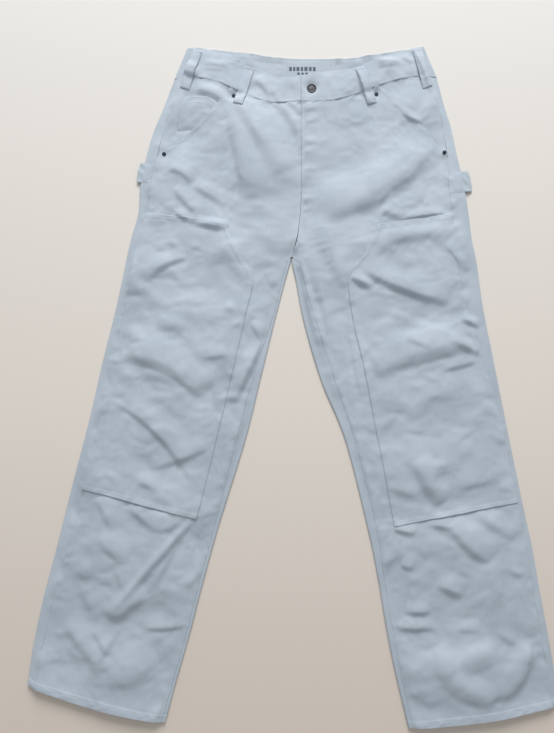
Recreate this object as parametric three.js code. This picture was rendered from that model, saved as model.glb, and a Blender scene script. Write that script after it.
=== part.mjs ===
// Double-knee carpenter trousers laid flat on a surface, front side up.
// Millimetres. X runs across, Y towards the waist, Z up. The tables are drawn from the waist seam at the
// centre front. The last lines move the whole garment so that its origin is under the middle of its box.
// "Right" and "left" are the wearer's, so the right leg lies on the -X side.

import * as THREE from 'three';

// Driving dimensions
const CLOTH = 1.2;
const BAND_CLOTH = 2.4;
const GAP = 0.3;
const FLAT_HEIGHT = 5.8;
const EDGE_RADIUS = FLAT_HEIGHT / 2;
const BELLY = 0.6;
const FOLD_MARGIN = 22;
const SIT = CLOTH + GAP;
const UNDERLAP = SIT + 0.1;

const CENTRE_X = -5;
const BACK_RISE = 39;
const SEAT_ROLL = 1.2;
const POCKET_MOUTH_X = 127;
const LOOP_WIDTH = 17;
const LOOP_THICKNESS = 2.2;
const TAB_THICKNESS = 2.4;
const BUTTON_DIAMETER = 17;
const RIVET_DIAMETER = 7;
const LABEL = { width: 74, height: 32, thickness: 0.6, x: 9, y: 62 };

// Stations down a leg that have a meaning of their own
const STATION = { waist: 0, mouthEnd: 3, patchTop: 5, crotch: 6, patchBottom: 11, hem: 15 };
const CROTCH_EASE = 1;
const HEM_BOW = 6;
const STEPS_BETWEEN_STATIONS = [3, 3, 3, 2, 2, 2, 2, 3, 4, 4, 4, 4, 3, 3, 2];
const PATCH_COLUMNS = 10;
const INNER_COLUMNS = 4;
const FACING_COLUMNS = 3;
const LEAST_FACING = 3;

// Sections of each leg, one row a station, from the waist seam to the hem.
// outerX and outerY: the outer edge. innerX and innerY: the inner edge, or the centre front above the crotch.
// sideWrap and inseamWrap: how far the back panel comes round each edge onto the upper layer.
// patch: the inner edge of the knee patch, as a share of the front panel's width.
const SECTION_COLUMNS = ['outerX', 'outerY', 'innerX', 'innerY', 'sideWrap', 'inseamWrap', 'patch'];
const RIGHT_SECTIONS = [
  [-226, 43, -5, 0, 16, 4.5, 0.6],
  [-244, -9, -5, -40, 16, 4.5, 0.6],
  [-260, -52, -5, -80, 18, 4.5, 0.6],
  [-271, -96, -5, -120, 19, 4.5, 0.58],
  [-280, -148, -6, -172, 16, 4.5, 0.56],
  [-282, -196, -11.2, -229, 13.5, 4.5, 0.54],
  [-294, -246, -22.6, -276, 13, 6, 0.66],
  [-303, -296, -33, -314, 15, 4.5, 0.8],
  [-314, -358, -50, -380, 17, 4.5, 0.816],
  [-334, -452, -74, -480, 18, 12, 0.848],
  [-352, -545, -98, -578, 19, 13, 0.856],
  [-376, -652, -139, -712, 19, 6, 0.862],
  [-396, -745, -163, -800, 18, 5.5, 0.86],
  [-414, -825, -182, -875, 16, 5, 0.86],
  [-427, -900, -203, -950, 14, 4.5, 0.86],
  [-432, -953, -218, -1007, 13, 4.5, 0.86],
];
const LEFT_SECTIONS = [
  [232, 47, -5, 0, 12, 12, 0.6],
  [244, -5, -5, -36, 13, 12, 0.6],
  [254, -44, -5, -80, 14, 12, 0.6],
  [263, -96, -5, -125, 17, 12, 0.55],
  [273, -150, -6, -182, 27, 12, 0.5],
  [278, -194, -12.4, -242, 28, 12, 0.49],
  [282, -240, -21.8, -276, 30, 12, 0.55],
  [289, -285, -15, -314, 35, 12, 0.7],
  [296, -358, -1, -388, 29, 19, 0.756],
  [310, -448, 26, -482, 16, 21, 0.796],
  [325, -545, 64, -578, 9, 14, 0.845],
  [346, -676, 99, -722, 9, 13, 0.876],
  [358, -745, 113, -796, 10, 9, 0.87],
  [369, -827, 124, -868, 12, 9, 0.87],
  [379, -899, 137, -937, 12, 8, 0.87],
  [388, -981, 155, -1015, 11, 6, 0.87],
];

// Upper edges of the waistband as x and y points, from the side to the centre
const RIGHT_SIDE = {
  name: 'right',
  sign: -1,
  sections: RIGHT_SECTIONS,
  waistWave: 10,
  mouthBend: 1.25,
  frontTop: [[-204, 103], [-172, 100], [-138, 91], [-85, 64], [-45, 46], [-5, 46]],
  backTop: [[-204, 103], [-108, 96.5], [-60, 87], [-5, 84]],
};
const LEFT_SIDE = {
  name: 'left',
  sign: 1,
  sections: LEFT_SECTIONS,
  waistWave: 9,
  mouthBend: 0.92,
  frontTop: [[211, 105], [180, 97], [142, 86], [89, 62], [46, 56], [-5, 46]],
  backTop: [[211, 105], [135, 95], [76, 85], [-5, 84]],
};

// The largest folds of the upper layer, a row each. The crest runs from x0, y0 to x1, y1 and bows to its
// left. It falls within gentle on its left and within steep on its right.
const FOLD_COLUMNS = ['x0', 'y0', 'x1', 'y1', 'bow', 'height', 'steep', 'gentle'];
const FOLDS = [
  [-274, -335, -197, -278, 7, 3, 13, 32],
  [-301, -447, -205, -476, 7, 4, 13, 40],
  [-218, -468, -175, -511, 0, 3.5, 16, 36],
  [-306, -522, -184, -648, 11, 3, 13, 34],
  [-293, -685, -201, -710, -19, 3, 13, 30],
  [-309, -849, -182, -703, 0, 6, 18, 20],
  [-381, -864, -310, -942, 0, 3, 14, 26],
  [-300, -962, -220, -923, 0, 3.5, 20, 38],
  [-237, -121, -136, -190, 5, 3, 13, 26],
  [-116, -20, -38, -144, 0, 2.5, 20, 38],
  [22, -214, 232, -92, -16, 6, 32, 60],
  [92, -300, 236, -357, -6, 5, 15, 34],
  [118, -478, 286, -435, 5, 6, 17, 44],
  [2, -262, 41, -399, 0, 3, 14, 16],
  [168, -626, 282, -770, -8, 3.5, 13, 30],
  [145, -726, 191, -753, 0, 3, 15, 28],
  [188, -908, 275, -984, -16, 5, 15, 34],
  [300, -981, 355, -883, -9, 4, 15, 32],
].map(row => named(FOLD_COLUMNS, row));

// Belt loops: the middle of the upper end and of the lower end
const BELT_LOOPS = [
  { name: 'belt_loop_front_right', top: [-94, 63], bottom: [-114, -7] },
  { name: 'belt_loop_front_left', top: [97, 60], bottom: [117.5, -3] },
  { name: 'belt_loop_side_right', top: [-185, 94], bottom: [-206, 23] },
  { name: 'belt_loop_side_left', top: [197, 97], bottom: [214, 27] },
];

// Tool loops in the side seams: stations of their two ends and how far they stand out of the edge
const TOOL_LOOPS = [
  { side: RIGHT_SIDE, from: 3.25, to: 3.9, reach: 8 },
  { side: LEFT_SIDE, from: 3.5, to: 4.2, reach: 13 },
];

const RIVETS = [
  { name: 'rivet_pocket_top_right', x: -121.5, y: 13 },
  { name: 'rivet_pocket_end_right', x: -240, y: -93 },
  { name: 'rivet_pocket_top_left', x: 125.5, y: 16 },
  { name: 'rivet_pocket_end_left', x: 240, y: -90 },
];
const BUTTON = { x: 13, y: 24 };

// Materials
function cloth(shade) {
  return new THREE.MeshStandardMaterial({ color: shade, roughness: 0.92, metalness: 0 });
}
function metal(shade) {
  return new THREE.MeshStandardMaterial({ color: shade, roughness: 0.4, metalness: 0.9 });
}
const DUCK = '#c2ccd6';
const DUCK_SHADE = '#b3bec9';
const LABEL_TAPE = '#cfd6dc';
const STEEL = '#6b7177';
const DARK_STEEL = '#2b3238';

// Small helpers
function named(columns, row) {
  return Object.fromEntries(columns.map((name, k) => [name, row[k]]));
}
function clamp(value, low, high) {
  return Math.min(Math.max(value, low), high);
}
function smooth(value) {
  const t = clamp(value, 0, 1);
  return t * t * (3 - 2 * t);
}
function mix(a, b, t) {
  return a + (b - a) * t;
}
function throughFour(a, b, c, d, t) {
  const slopeIn = (c - a) / 2;
  const slopeOut = (d - b) / 2;
  const bend = 2 * (b - c) + slopeIn + slopeOut;
  return ((bend * t + (3 * (c - b) - 2 * slopeIn - slopeOut)) * t + slopeIn) * t + b;
}
function range(count) {
  return Array.from({ length: count }, (_, k) => k);
}

// The section of a leg at any station, smoothly between the table's rows
function sectionAt(side, station) {
  const rows = side.sections;
  const first = Math.min(Math.floor(station), rows.length - 2);
  const row = k => rows[clamp(k, 0, rows.length - 1)];
  const values = SECTION_COLUMNS.map((_, c) => throughFour(
    row(first - 1)[c], row(first)[c], row(first + 1)[c], row(first + 2)[c], station - first));
  const section = named(SECTION_COLUMNS, values);
  section.station = station;
  section.inward = -side.sign;
  section.side = section.outerX + section.inward * section.sideWrap;
  section.seam = section.innerX - section.inward * section.inseamWrap;
  if (station < STATION.crotch) section.seam = section.innerX;
  section.frontEdge = frontEdge(side, section);
  return section;
}

// The front panel's outer edge: the slanted pocket mouth, then the side seam
function frontEdge(side, section) {
  if (section.station >= STATION.mouthEnd) return section.side;
  const end = side.sections[STATION.mouthEnd];
  const endX = end[0] - side.sign * end[4];
  const share = (section.station / STATION.mouthEnd) ** side.mouthBend;
  return mix(side.sign * POCKET_MOUTH_X, endX, share);
}

// Where the row of a section passes over x. The waist seam dips towards the centre front, and the hem bows out
// in its middle.
function rowY(side, section, x) {
  const share = (x - section.outerX) / (section.innerX - section.outerX);
  const across = Math.PI * clamp(share, 0, 1);
  const dip = side.waistWave * clamp(1 - section.station / STATION.mouthEnd, 0, 1) ** 2;
  const bow = HEM_BOW * clamp(section.station - STATION.hem + 1, 0, 1) ** 2;
  return mix(section.outerY, section.innerY, share) + dip * Math.sin(2 * across) - bow * Math.sin(across);
}

function foldHeight(fold, x, y) {
  const dx = fold.x1 - fold.x0;
  const dy = fold.y1 - fold.y0;
  const length = Math.hypot(dx, dy);
  const along = ((x - fold.x0) * dx + (y - fold.y0) * dy) / (length * length);
  if (along <= 0 || along >= 1) return 0;
  const ends = Math.sin(Math.PI * along) ** 0.7;
  const bow = fold.bow * 4 * along * (1 - along);
  const across = ((y - fold.y0) * dx - (x - fold.x0) * dy) / length - bow - fold.steep / 2;
  const width = across > 0 ? fold.gentle : fold.steep;
  return fold.height * ends * smooth(1 - Math.abs(across) / width);
}

// Height of the upper layer's outer face over the surface that the garment lies on
function topHeight(section, x, y) {
  const fromOuter = Math.abs(x - section.outerX);
  const fromInner = Math.abs(x - section.innerX);
  const open = section.station < STATION.crotch;
  const share = clamp(fromOuter / Math.abs(section.innerX - section.outerX), 0, 1);
  const belly = BELLY * Math.sin(Math.PI * share * (open ? 0.5 : 1));
  const lift = FOLDS.reduce((sum, fold) => sum + foldHeight(fold, x, y), 0);
  let margin = smooth((fromOuter - EDGE_RADIUS) / FOLD_MARGIN);
  if (!open) margin *= smooth((fromInner - EDGE_RADIUS) / FOLD_MARGIN);
  return FLAT_HEIGHT + belly * margin + lift * margin;
}

function topPoint(side, section, x) {
  const y = rowY(side, section, x);
  return new THREE.Vector3(x, y, topHeight(section, x, y));
}

// Stations of the panels' rows, the same for every panel of a leg so that seams stay side by side
const ROW_STATIONS = STEPS_BETWEEN_STATIONS.flatMap((steps, k) => range(steps).map(step => k + step / steps));
ROW_STATIONS.push(STATION.hem);
function rowOf(station) {
  return ROW_STATIONS.findIndex(value => Math.abs(value - station) < 0.01);
}

// Closed wall of a thickness under a grid of outer points. The grid is a list of rows, and facing is 1 where
// (along a row) x (from row to row) points out of the cloth, and -1 where it points in. The thickness is
// measured across the garment, so that the ends of a wall stay on its first and last rows.
function gridNormals(grid, facing) {
  const rows = grid.length;
  const columns = grid[0].length;
  return grid.map((line, j) => line.map((_, i) => {
    const across = line[Math.min(i + 1, columns - 1)].clone().sub(line[Math.max(i - 1, 0)]);
    const down = grid[Math.min(j + 1, rows - 1)][i].clone().sub(grid[Math.max(j - 1, 0)][i]);
    const normal = across.cross(down);
    return normal.setY(0).normalize().multiplyScalar(facing);
  }));
}
function moved(grid, facing, distance) {
  const normals = gridNormals(grid, facing);
  const step = (point, normal) => point.clone().addScaledVector(normal, distance);
  return grid.map((line, j) => line.map((point, i) => step(point, normals[j][i])));
}
function wall(grid, facing, thickness) {
  const rows = grid.length;
  const columns = grid[0].length;
  const skin = rows * columns;
  const inner = moved(grid, facing, -thickness);
  const at = (i, j) => j * columns + i;
  const triangles = [];
  const add = (a, b, c) => triangles.push(...(facing > 0 ? [a, b, c] : [a, c, b]));
  for (const j of range(rows - 1)) {
    for (const i of range(columns - 1)) {
      const [a, b, c, d] = [at(i, j), at(i + 1, j), at(i + 1, j + 1), at(i, j + 1)];
      add(a, b, c);
      add(a, c, d);
      add(a + skin, c + skin, b + skin);
      add(a + skin, d + skin, c + skin);
    }
  }
  const rim = [
    ...range(columns - 1).map(i => at(i, 0)),
    ...range(rows - 1).map(j => at(columns - 1, j)),
    ...range(columns - 1).map(i => at(columns - 1 - i, rows - 1)),
    ...range(rows - 1).map(j => at(0, rows - 1 - j)),
  ];
  rim.forEach((from, k) => {
    const to = rim[(k + 1) % rim.length];
    add(to, from, from + skin);
    add(to, from + skin, to + skin);
  });
  const geometry = new THREE.BufferGeometry();
  const corners = [...grid.flat(), ...inner.flat()].flatMap(point => [point.x, point.y, point.z]);
  geometry.setAttribute('position', new THREE.Float32BufferAttribute(corners, 3));
  geometry.setIndex(triangles);
  geometry.computeVertexNormals();
  return geometry;
}

const garment = new THREE.Group();
const pieces = {};
function piece(name, geometry, material) {
  const mesh = new THREE.Mesh(geometry, material);
  mesh.name = name;
  pieces[name] = mesh;
  garment.add(mesh);
  return mesh;
}

// Front panel: from the pocket mouth or side seam to the centre front or inseam
function frontColumns(section) {
  const start = section.frontEdge + section.inward * GAP / 2;
  const ease = section.station === STATION.crotch ? CROTCH_EASE : 0;
  const end = section.seam - section.inward * (GAP / 2 + ease);
  const patchEdge = mix(start, end, section.patch);
  return [
    ...range(PATCH_COLUMNS).map(k => mix(start, patchEdge, k / PATCH_COLUMNS)),
    ...range(INNER_COLUMNS + 1).map(k => mix(patchEdge, end, k / INNER_COLUMNS)),
  ];
}
function frontGrid(side) {
  return ROW_STATIONS.map(station => {
    const section = sectionAt(side, station);
    return frontColumns(section).map(x => topPoint(side, section, x));
  });
}

// Round edge of the flat leg, from the upper layer's height down to the underside
const EDGE_ANGLES = [90, 45, 0, -45, -90];
function edgePoint(x, out, y, degrees, height) {
  const angle = THREE.MathUtils.degToRad(degrees);
  const radius = height / 2;
  return new THREE.Vector3(x - out * radius * (1 - Math.cos(angle)), y, radius * (1 + Math.sin(angle)));
}

// Back panel: its strip by the side seam, the outer edge, the underside, and below the crotch the inner edge
// and the strip by the inseam. Above the crotch it ends flat at the centre back.
function backGrid(side) {
  return ROW_STATIONS.map(station => {
    const section = sectionAt(side, station);
    const out = side.sign;
    const edgeY = x => rowY(side, section, x);
    const line = [topPoint(side, section, section.side + out * GAP / 2)];
    for (const degrees of EDGE_ANGLES) {
      line.push(edgePoint(section.outerX, out, edgeY(section.outerX), degrees, FLAT_HEIGHT));
    }
    if (station < STATION.crotch) {
      const y = section.innerY + BACK_RISE * (1 - station / STATION.crotch);
      const end = section.innerX + out * GAP / 2;
      for (const k of range(EDGE_ANGLES.length + 1)) {
        line.push(new THREE.Vector3(end + out * SEAT_ROLL * (EDGE_ANGLES.length - k), y, 0));
      }
      return line;
    }
    for (const degrees of [...EDGE_ANGLES].reverse()) {
      line.push(edgePoint(section.innerX, -out, section.innerY, degrees, FLAT_HEIGHT));
    }
    line.push(topPoint(side, section, section.seam - out * GAP / 2));
    return line;
  });
}

// Pocket facing: the corner behind the slanted mouth, from the side seam to just under the front panel
function facingGrid(side, front) {
  return range(rowOf(STATION.mouthEnd) + 1).map(row => {
    const section = sectionAt(side, ROW_STATIONS[row]);
    const start = section.side + section.inward * GAP / 2;
    const width = Math.max(Math.abs(front[row][0].x - start), LEAST_FACING);
    const under = clamp(section.station - STATION.mouthEnd + 1, 0, 1);
    const line = range(FACING_COLUMNS + 1).map(k => {
      const share = k / FACING_COLUMNS;
      const point = topPoint(side, section, start + section.inward * width * share);
      point.z -= UNDERLAP * Math.max(share, under);
      return point;
    });
    const last = front[row][1].clone();
    last.z -= UNDERLAP;
    return [...line, last];
  });
}

// Coin pocket on the right facing, from its top edge down to the pocket mouth: which of the facing's rows it
// spans, and its columns as places between the facing's own
const COIN_ROWS = [2, 6];
const COIN_COLUMNS = [0.6, 1, 1.5, 2, 2.45, 2.88];
function coinPocketGrid(pocket, facing) {
  const sub = pocket.slice(COIN_ROWS[0], COIN_ROWS[1] + 1).map(line => COIN_COLUMNS.map(place => {
    const k = Math.floor(place);
    return line[k].clone().lerp(line[k + 1], place - k);
  }));
  return moved(sub, facing, SIT);
}

// Knee patch: the front panel's own points between two seams, moved out
function patchGrid(front, facing) {
  const outer = moved(front, facing, SIT);
  const from = rowOf(STATION.patchTop);
  const to = rowOf(STATION.patchBottom);
  return outer.slice(from, to + 1).map(line => line.slice(0, PATCH_COLUMNS + 1));
}

// Waistband fronts: from the side seam to the centre, standing on the panels' first row
const BAND_ROWS = 3;
const BAND_HEIGHT_EXTRA = BAND_CLOTH - CLOTH;
function edgeCurve(points) {
  return new THREE.SplineCurve(points.map(([x, y]) => new THREE.Vector2(x, y)));
}
function bandColumn(side, bottom, top, rows) {
  const section = sectionAt(side, STATION.waist);
  return range(rows + 1).map(row => {
    const x = mix(bottom.x, top.x, row / rows);
    const y = mix(bottom.y + GAP, top.y, row / rows);
    return new THREE.Vector3(x, y, topHeight(section, bottom.x, bottom.y) + BAND_HEIGHT_EXTRA);
  });
}
function turned(columns) {
  return columns[0].map((_, row) => columns.map(column => column[row]));
}
function bandFrontGrid(side, front, facing) {
  const section = sectionAt(side, STATION.waist);
  const upper = edgeCurve(side.frontTop);
  const bottoms = [...facing[0].slice(0, FACING_COLUMNS), ...front[0]];
  const columns = bottoms.map(bottom => {
    const share = (bottom.x - section.outerX) / (section.innerX - section.outerX);
    const top = upper.getPointAt(clamp(share, 0, 1));
    top.x += side.sign * GAP / 2 * smooth(share);
    return bandColumn(side, bottom, top, BAND_ROWS);
  });
  return turned(columns);
}

// Waistband back: from one side seam round the edge, along the underside and round the other edge
const BAND_UNDERSIDE_COLUMNS = 5;
function bandBackHalf(side) {
  const section = sectionAt(side, STATION.waist);
  const height = FLAT_HEIGHT + BAND_HEIGHT_EXTRA;
  const upper = edgeCurve(side.backTop);
  const upperFront = edgeCurve(side.frontTop);
  const seamShare = (section.side - section.outerX) / (section.innerX - section.outerX);
  const seamX = section.side + side.sign * GAP / 2;
  const seamBottom = new THREE.Vector3(seamX, rowY(side, section, seamX), 0);
  const seamTop = upperFront.getPointAt(seamShare);
  seamTop.x += side.sign * GAP / 2;
  const columns = [bandColumn(side, seamBottom, seamTop, BAND_ROWS)];
  const corner = upper.getPoint(0);
  for (const degrees of EDGE_ANGLES) {
    columns.push(range(BAND_ROWS + 1).map(row => {
      const x = mix(section.outerX, corner.x, row / BAND_ROWS);
      const y = mix(section.outerY + GAP, corner.y, row / BAND_ROWS);
      return edgePoint(x, side.sign, y, degrees, height);
    }));
  }
  const start = section.outerX - side.sign * height / 2;
  for (const k of range(BAND_UNDERSIDE_COLUMNS).map(k => k + 1)) {
    const share = k / BAND_UNDERSIDE_COLUMNS;
    const bottomX = mix(start, CENTRE_X, share);
    const lineShare = (bottomX - section.outerX) / (CENTRE_X - section.outerX);
    const bottomY = mix(section.outerY, section.innerY + BACK_RISE, lineShare) + GAP;
    const top = upper.getPointAt(lineShare);
    columns.push(range(BAND_ROWS + 1).map(row => new THREE.Vector3(
      mix(bottomX, top.x, row / BAND_ROWS), mix(bottomY, top.y, row / BAND_ROWS), 0)));
  }
  return columns;
}

// Heights of what already lies under a place, from above
const caster = new THREE.Raycaster();
const HIGH = 100;
function heightUnder(names, x, y, around) {
  const places = [[0, 0], [around, 0], [-around, 0], [0, around], [0, -around],
    [around, around], [-around, around], [around, -around], [-around, -around]];
  const heights = places.map(([dx, dy]) => {
    caster.set(new THREE.Vector3(x + dx, y + dy, HIGH), new THREE.Vector3(0, 0, -1));
    const hits = caster.intersectObjects(names.map(name => pieces[name]), false);
    return hits.length > 0 ? HIGH - hits[0].distance : 0;
  });
  return Math.max(...heights);
}

// Belt loops: straps over the waistband, tacked above and below it
const LOOP_STEPS = 6;
function beltLoopGrid(loop, names) {
  const top = new THREE.Vector2(...loop.top);
  const bottom = new THREE.Vector2(...loop.bottom);
  const run = bottom.clone().sub(top);
  const across = new THREE.Vector2(-run.y, run.x).normalize().multiplyScalar(LOOP_WIDTH / 2);
  return range(LOOP_STEPS + 1).map(step => {
    const middle = top.clone().addScaledVector(run, step / LOOP_STEPS);
    const reach = run.length() / LOOP_STEPS;
    const z = heightUnder(names, middle.x, middle.y, reach) + GAP + LOOP_THICKNESS;
    return [-1, 0, 1].map(k => new THREE.Vector3(middle.x + across.x * k, middle.y + across.y * k, z));
  });
}

// Tool loops: folded tapes out of the side seams, over the edge
const TAB_DROOP = [0, 0, 0.8, 3];
function toolLoopGrid(loop) {
  return [0, 0.5, 1].map(share => {
    const section = sectionAt(loop.side, mix(loop.from, loop.to, share));
    const out = loop.side.sign;
    const places = [
      section.side + out,
      section.outerX - out * EDGE_RADIUS,
      section.outerX,
      section.outerX + out * loop.reach,
    ];
    return places.map((x, k) => {
      const y = rowY(loop.side, section, x);
      const z = Math.max(topHeight(section, x, y), FLAT_HEIGHT) + GAP + TAB_THICKNESS - TAB_DROOP[k];
      return new THREE.Vector3(x, y, z);
    });
  });
}

// Turned metal: profiles from the axis and back to it, as a share of the radius and a height in millimetres
const RIVET_PROFILE = [[0, 0], [1, 0], [1, 0.5], [0.8, 1.1], [0.35, 1.4], [0, 1.4]];
const RIVET_SIDES = 10;
const BUTTON_PROFILE = [[0, 0], [0.55, 0], [0.55, 1], [0.9, 1.2], [1, 2], [0.92, 2.9], [0.78, 3], [0.62, 2.4],
  [0.2, 2.2], [0, 2.2]];
const BUTTON_SIDES = 18;
function turnedPiece(profile, diameter, sides) {
  const points = profile.map(([share, height]) => new THREE.Vector2(share * diameter / 2, height));
  const geometry = new THREE.LatheGeometry(points, sides);
  geometry.rotateX(Math.PI / 2);
  return geometry;
}

// Assembly
const backHalves = {};
for (const side of [RIGHT_SIDE, LEFT_SIDE]) {
  const facing = side.sign;
  const front = frontGrid(side);
  const pocket = facingGrid(side, front);
  piece(`front_${side.name}`, wall(front, facing, CLOTH), cloth(DUCK));
  piece(`back_${side.name}`, wall(backGrid(side), -facing, CLOTH), cloth(DUCK_SHADE));
  piece(`pocket_facing_${side.name}`, wall(pocket, facing, CLOTH), cloth(DUCK_SHADE));
  piece(`knee_patch_${side.name}`, wall(patchGrid(front, facing), facing, CLOTH), cloth(DUCK));
  const band = bandFrontGrid(side, front, pocket);
  piece(`waistband_front_${side.name}`, wall(band, -facing, BAND_CLOTH), cloth(DUCK));
  backHalves[side.name] = bandBackHalf(side);
  if (side === RIGHT_SIDE) {
    piece('coin_pocket', wall(coinPocketGrid(pocket, facing), facing, CLOTH), cloth(DUCK));
  }
}
const backBand = turned([...backHalves.right, ...backHalves.left.slice(0, -1).reverse()]);
piece('waistband_back', wall(backBand, -1, BAND_CLOTH), cloth(DUCK_SHADE));

const labelForm = new THREE.BoxGeometry(LABEL.width, LABEL.height, LABEL.thickness);
const label = piece('label', labelForm, cloth(LABEL_TAPE));
label.position.set(LABEL.x, LABEL.y, BAND_CLOTH + GAP + LABEL.thickness / 2);

const CARRIERS = ['front_right', 'front_left', 'pocket_facing_right', 'pocket_facing_left', 'coin_pocket',
  'waistband_front_right', 'waistband_front_left', 'waistband_back', 'back_right', 'back_left'];
garment.updateMatrixWorld(true);
for (const loop of BELT_LOOPS) {
  piece(loop.name, wall(beltLoopGrid(loop, CARRIERS), -1, LOOP_THICKNESS), cloth(DUCK));
}
for (const loop of TOOL_LOOPS) {
  const grid = toolLoopGrid(loop);
  piece(`tool_loop_${loop.side.name}`, wall(grid, -loop.side.sign, TAB_THICKNESS), cloth(DUCK));
}
for (const rivet of RIVETS) {
  const form = turnedPiece(RIVET_PROFILE, RIVET_DIAMETER, RIVET_SIDES);
  const mesh = piece(rivet.name, form, metal(DARK_STEEL));
  const z = heightUnder(CARRIERS, rivet.x, rivet.y, RIVET_DIAMETER / 2);
  mesh.position.set(rivet.x, rivet.y, z + GAP);
}
const button = piece('button', turnedPiece(BUTTON_PROFILE, BUTTON_DIAMETER, BUTTON_SIDES), metal(STEEL));
const frontBands = ['waistband_front_left', 'waistband_front_right'];
const buttonZ = heightUnder(frontBands, BUTTON.x, BUTTON.y, BUTTON_DIAMETER / 3);
button.position.set(BUTTON.x, BUTTON.y, buttonZ + GAP);

// The origin: under the middle of the garment's box
const group = new THREE.Group();
group.add(garment);
group.updateMatrixWorld(true);
const extent = new THREE.Box3().setFromObject(garment);
const middle = extent.getCenter(new THREE.Vector3());
garment.position.set(-middle.x, -middle.y, -extent.min.z);

export default group;
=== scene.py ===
# Looks of double-knee carpenter trousers that lie flat, front side up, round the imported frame.
# Sizes are millimetres in the garment's own place, from the waist seam at the centre front: x runs to the
# wearer's left, y towards the waist and z up from the floor. "Right" and "left" are the wearer's.

import math
from types import SimpleNamespace

import bpy
import numpy as np
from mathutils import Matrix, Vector
from mathutils.bvhtree import BVHTree


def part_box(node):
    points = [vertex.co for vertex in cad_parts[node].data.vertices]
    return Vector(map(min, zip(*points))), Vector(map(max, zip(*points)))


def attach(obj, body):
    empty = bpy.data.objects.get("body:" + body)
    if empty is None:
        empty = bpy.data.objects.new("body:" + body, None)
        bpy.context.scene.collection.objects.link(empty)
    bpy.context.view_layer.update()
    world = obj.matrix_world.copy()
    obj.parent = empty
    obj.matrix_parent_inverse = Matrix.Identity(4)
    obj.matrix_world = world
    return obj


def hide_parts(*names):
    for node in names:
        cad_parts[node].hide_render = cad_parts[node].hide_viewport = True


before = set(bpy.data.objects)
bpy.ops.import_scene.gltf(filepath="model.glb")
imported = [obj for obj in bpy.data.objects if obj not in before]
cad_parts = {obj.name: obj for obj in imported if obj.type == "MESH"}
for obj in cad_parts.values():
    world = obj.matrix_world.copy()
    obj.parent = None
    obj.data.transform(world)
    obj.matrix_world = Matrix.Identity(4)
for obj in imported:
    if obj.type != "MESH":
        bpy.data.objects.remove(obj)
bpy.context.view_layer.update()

# Driving dimensions, the same as the solids have
MM = 0.001
CLOTH = 1.2
BAND_CLOTH = 2.4
GAP = 0.3
FLAT_HEIGHT = 5.8
EDGE_RADIUS = FLAT_HEIGHT / 2
CENTRE_X = -5
BACK_RISE = 39
POCKET_MOUTH_X = 127
LEAST_WRAP = 3.4
HEM_BOW = 6
STATIONS = WAIST, MOUTH_END, PATCH_TOP, CROTCH, PATCH_BOTTOM, HEM = 0, 3, 5, 6, 11, 15

# Fit of the dressed pieces: nearly closed seams, and each layer one cloth above the one beneath
SEAM_GAP = 0.12
SIT = CLOTH + GAP
UNDERLAP = SIT + 0.1

# How high the upper layer stands, and where it is pressed flat or calm
LOFT = 3.2
FULL_RELIEF = 9
LOWEST_TOP = 3.4
FOLD_MARGIN = 14
PRESSED = 1.7
PRESSED_REACH = 18
CROTCH_BLEND = 0.7
WAIST_EASE = 40
QUIET_REACH = 9
HIP_CALM = 0.45
HEM_CALM = 0.3
HEM_CALM_REACH = 45

# The upper layer of a hem stands up towards its edge and catches the light
HEM_FLARE = 4.6
HEM_FLARE_REACH = 36
HEM_DEPTH = 12.5
HEM_STITCHES = 11

# How finely the cloth is meshed
ROW_STEP = 3.2
PATCH_STEPS = 44
INNER_STEPS = 9
FACING_COLUMNS = 33
SIDE_COLUMNS = 8
UNDERSIDE_COLUMNS = 43
INSEAM_COLUMNS = 5
BACK_BAND_COLUMNS = 60
SEAT_STEP = 1.2
SEAT_STRIP = 12 * SEAT_STEP
EDGE_ANGLES = np.radians(np.arange(90, -91, -15.0))
NEAR_SEAM = np.array([0, 0.5, 1.1, 1.8, 2.6, 3.6, 4.8, 6, 7, 8, 9.2, 11])
NEAR_HEM = np.array([0, 0.5, 1.2, 2.2, 3.6, 5, 6.5, 8, 9.5, 11, 12.2, 13, 14, 15.5])

# Sections of each leg, one row a station, from the waist seam to the hem
SECTION_COLUMNS = ("outer_x", "outer_y", "inner_x", "inner_y", "side_wrap", "inseam_wrap", "patch")
RIGHT_SECTIONS = [
    (-226, 43, -5, 0, 16, 4.5, 0.6),
    (-244, -9, -5, -40, 16, 4.5, 0.6),
    (-260, -52, -5, -80, 18, 4.5, 0.6),
    (-271, -96, -5, -120, 19, 4.5, 0.58),
    (-280, -148, -6, -172, 16, 4.5, 0.56),
    (-282, -196, -11.2, -229, 13.5, 4.5, 0.54),
    (-294, -246, -22.6, -276, 13, 6, 0.66),
    (-303, -296, -33, -314, 15, 4.5, 0.8),
    (-314, -358, -50, -380, 17, 4.5, 0.816),
    (-334, -452, -74, -480, 18, 12, 0.848),
    (-352, -545, -98, -578, 19, 13, 0.856),
    (-376, -652, -139, -712, 19, 6, 0.862),
    (-396, -745, -163, -800, 18, 5.5, 0.86),
    (-414, -825, -182, -875, 16, 5, 0.86),
    (-427, -900, -203, -950, 14, 4.5, 0.86),
    (-432, -953, -218, -1007, 13, 4.5, 0.86),
]
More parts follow.
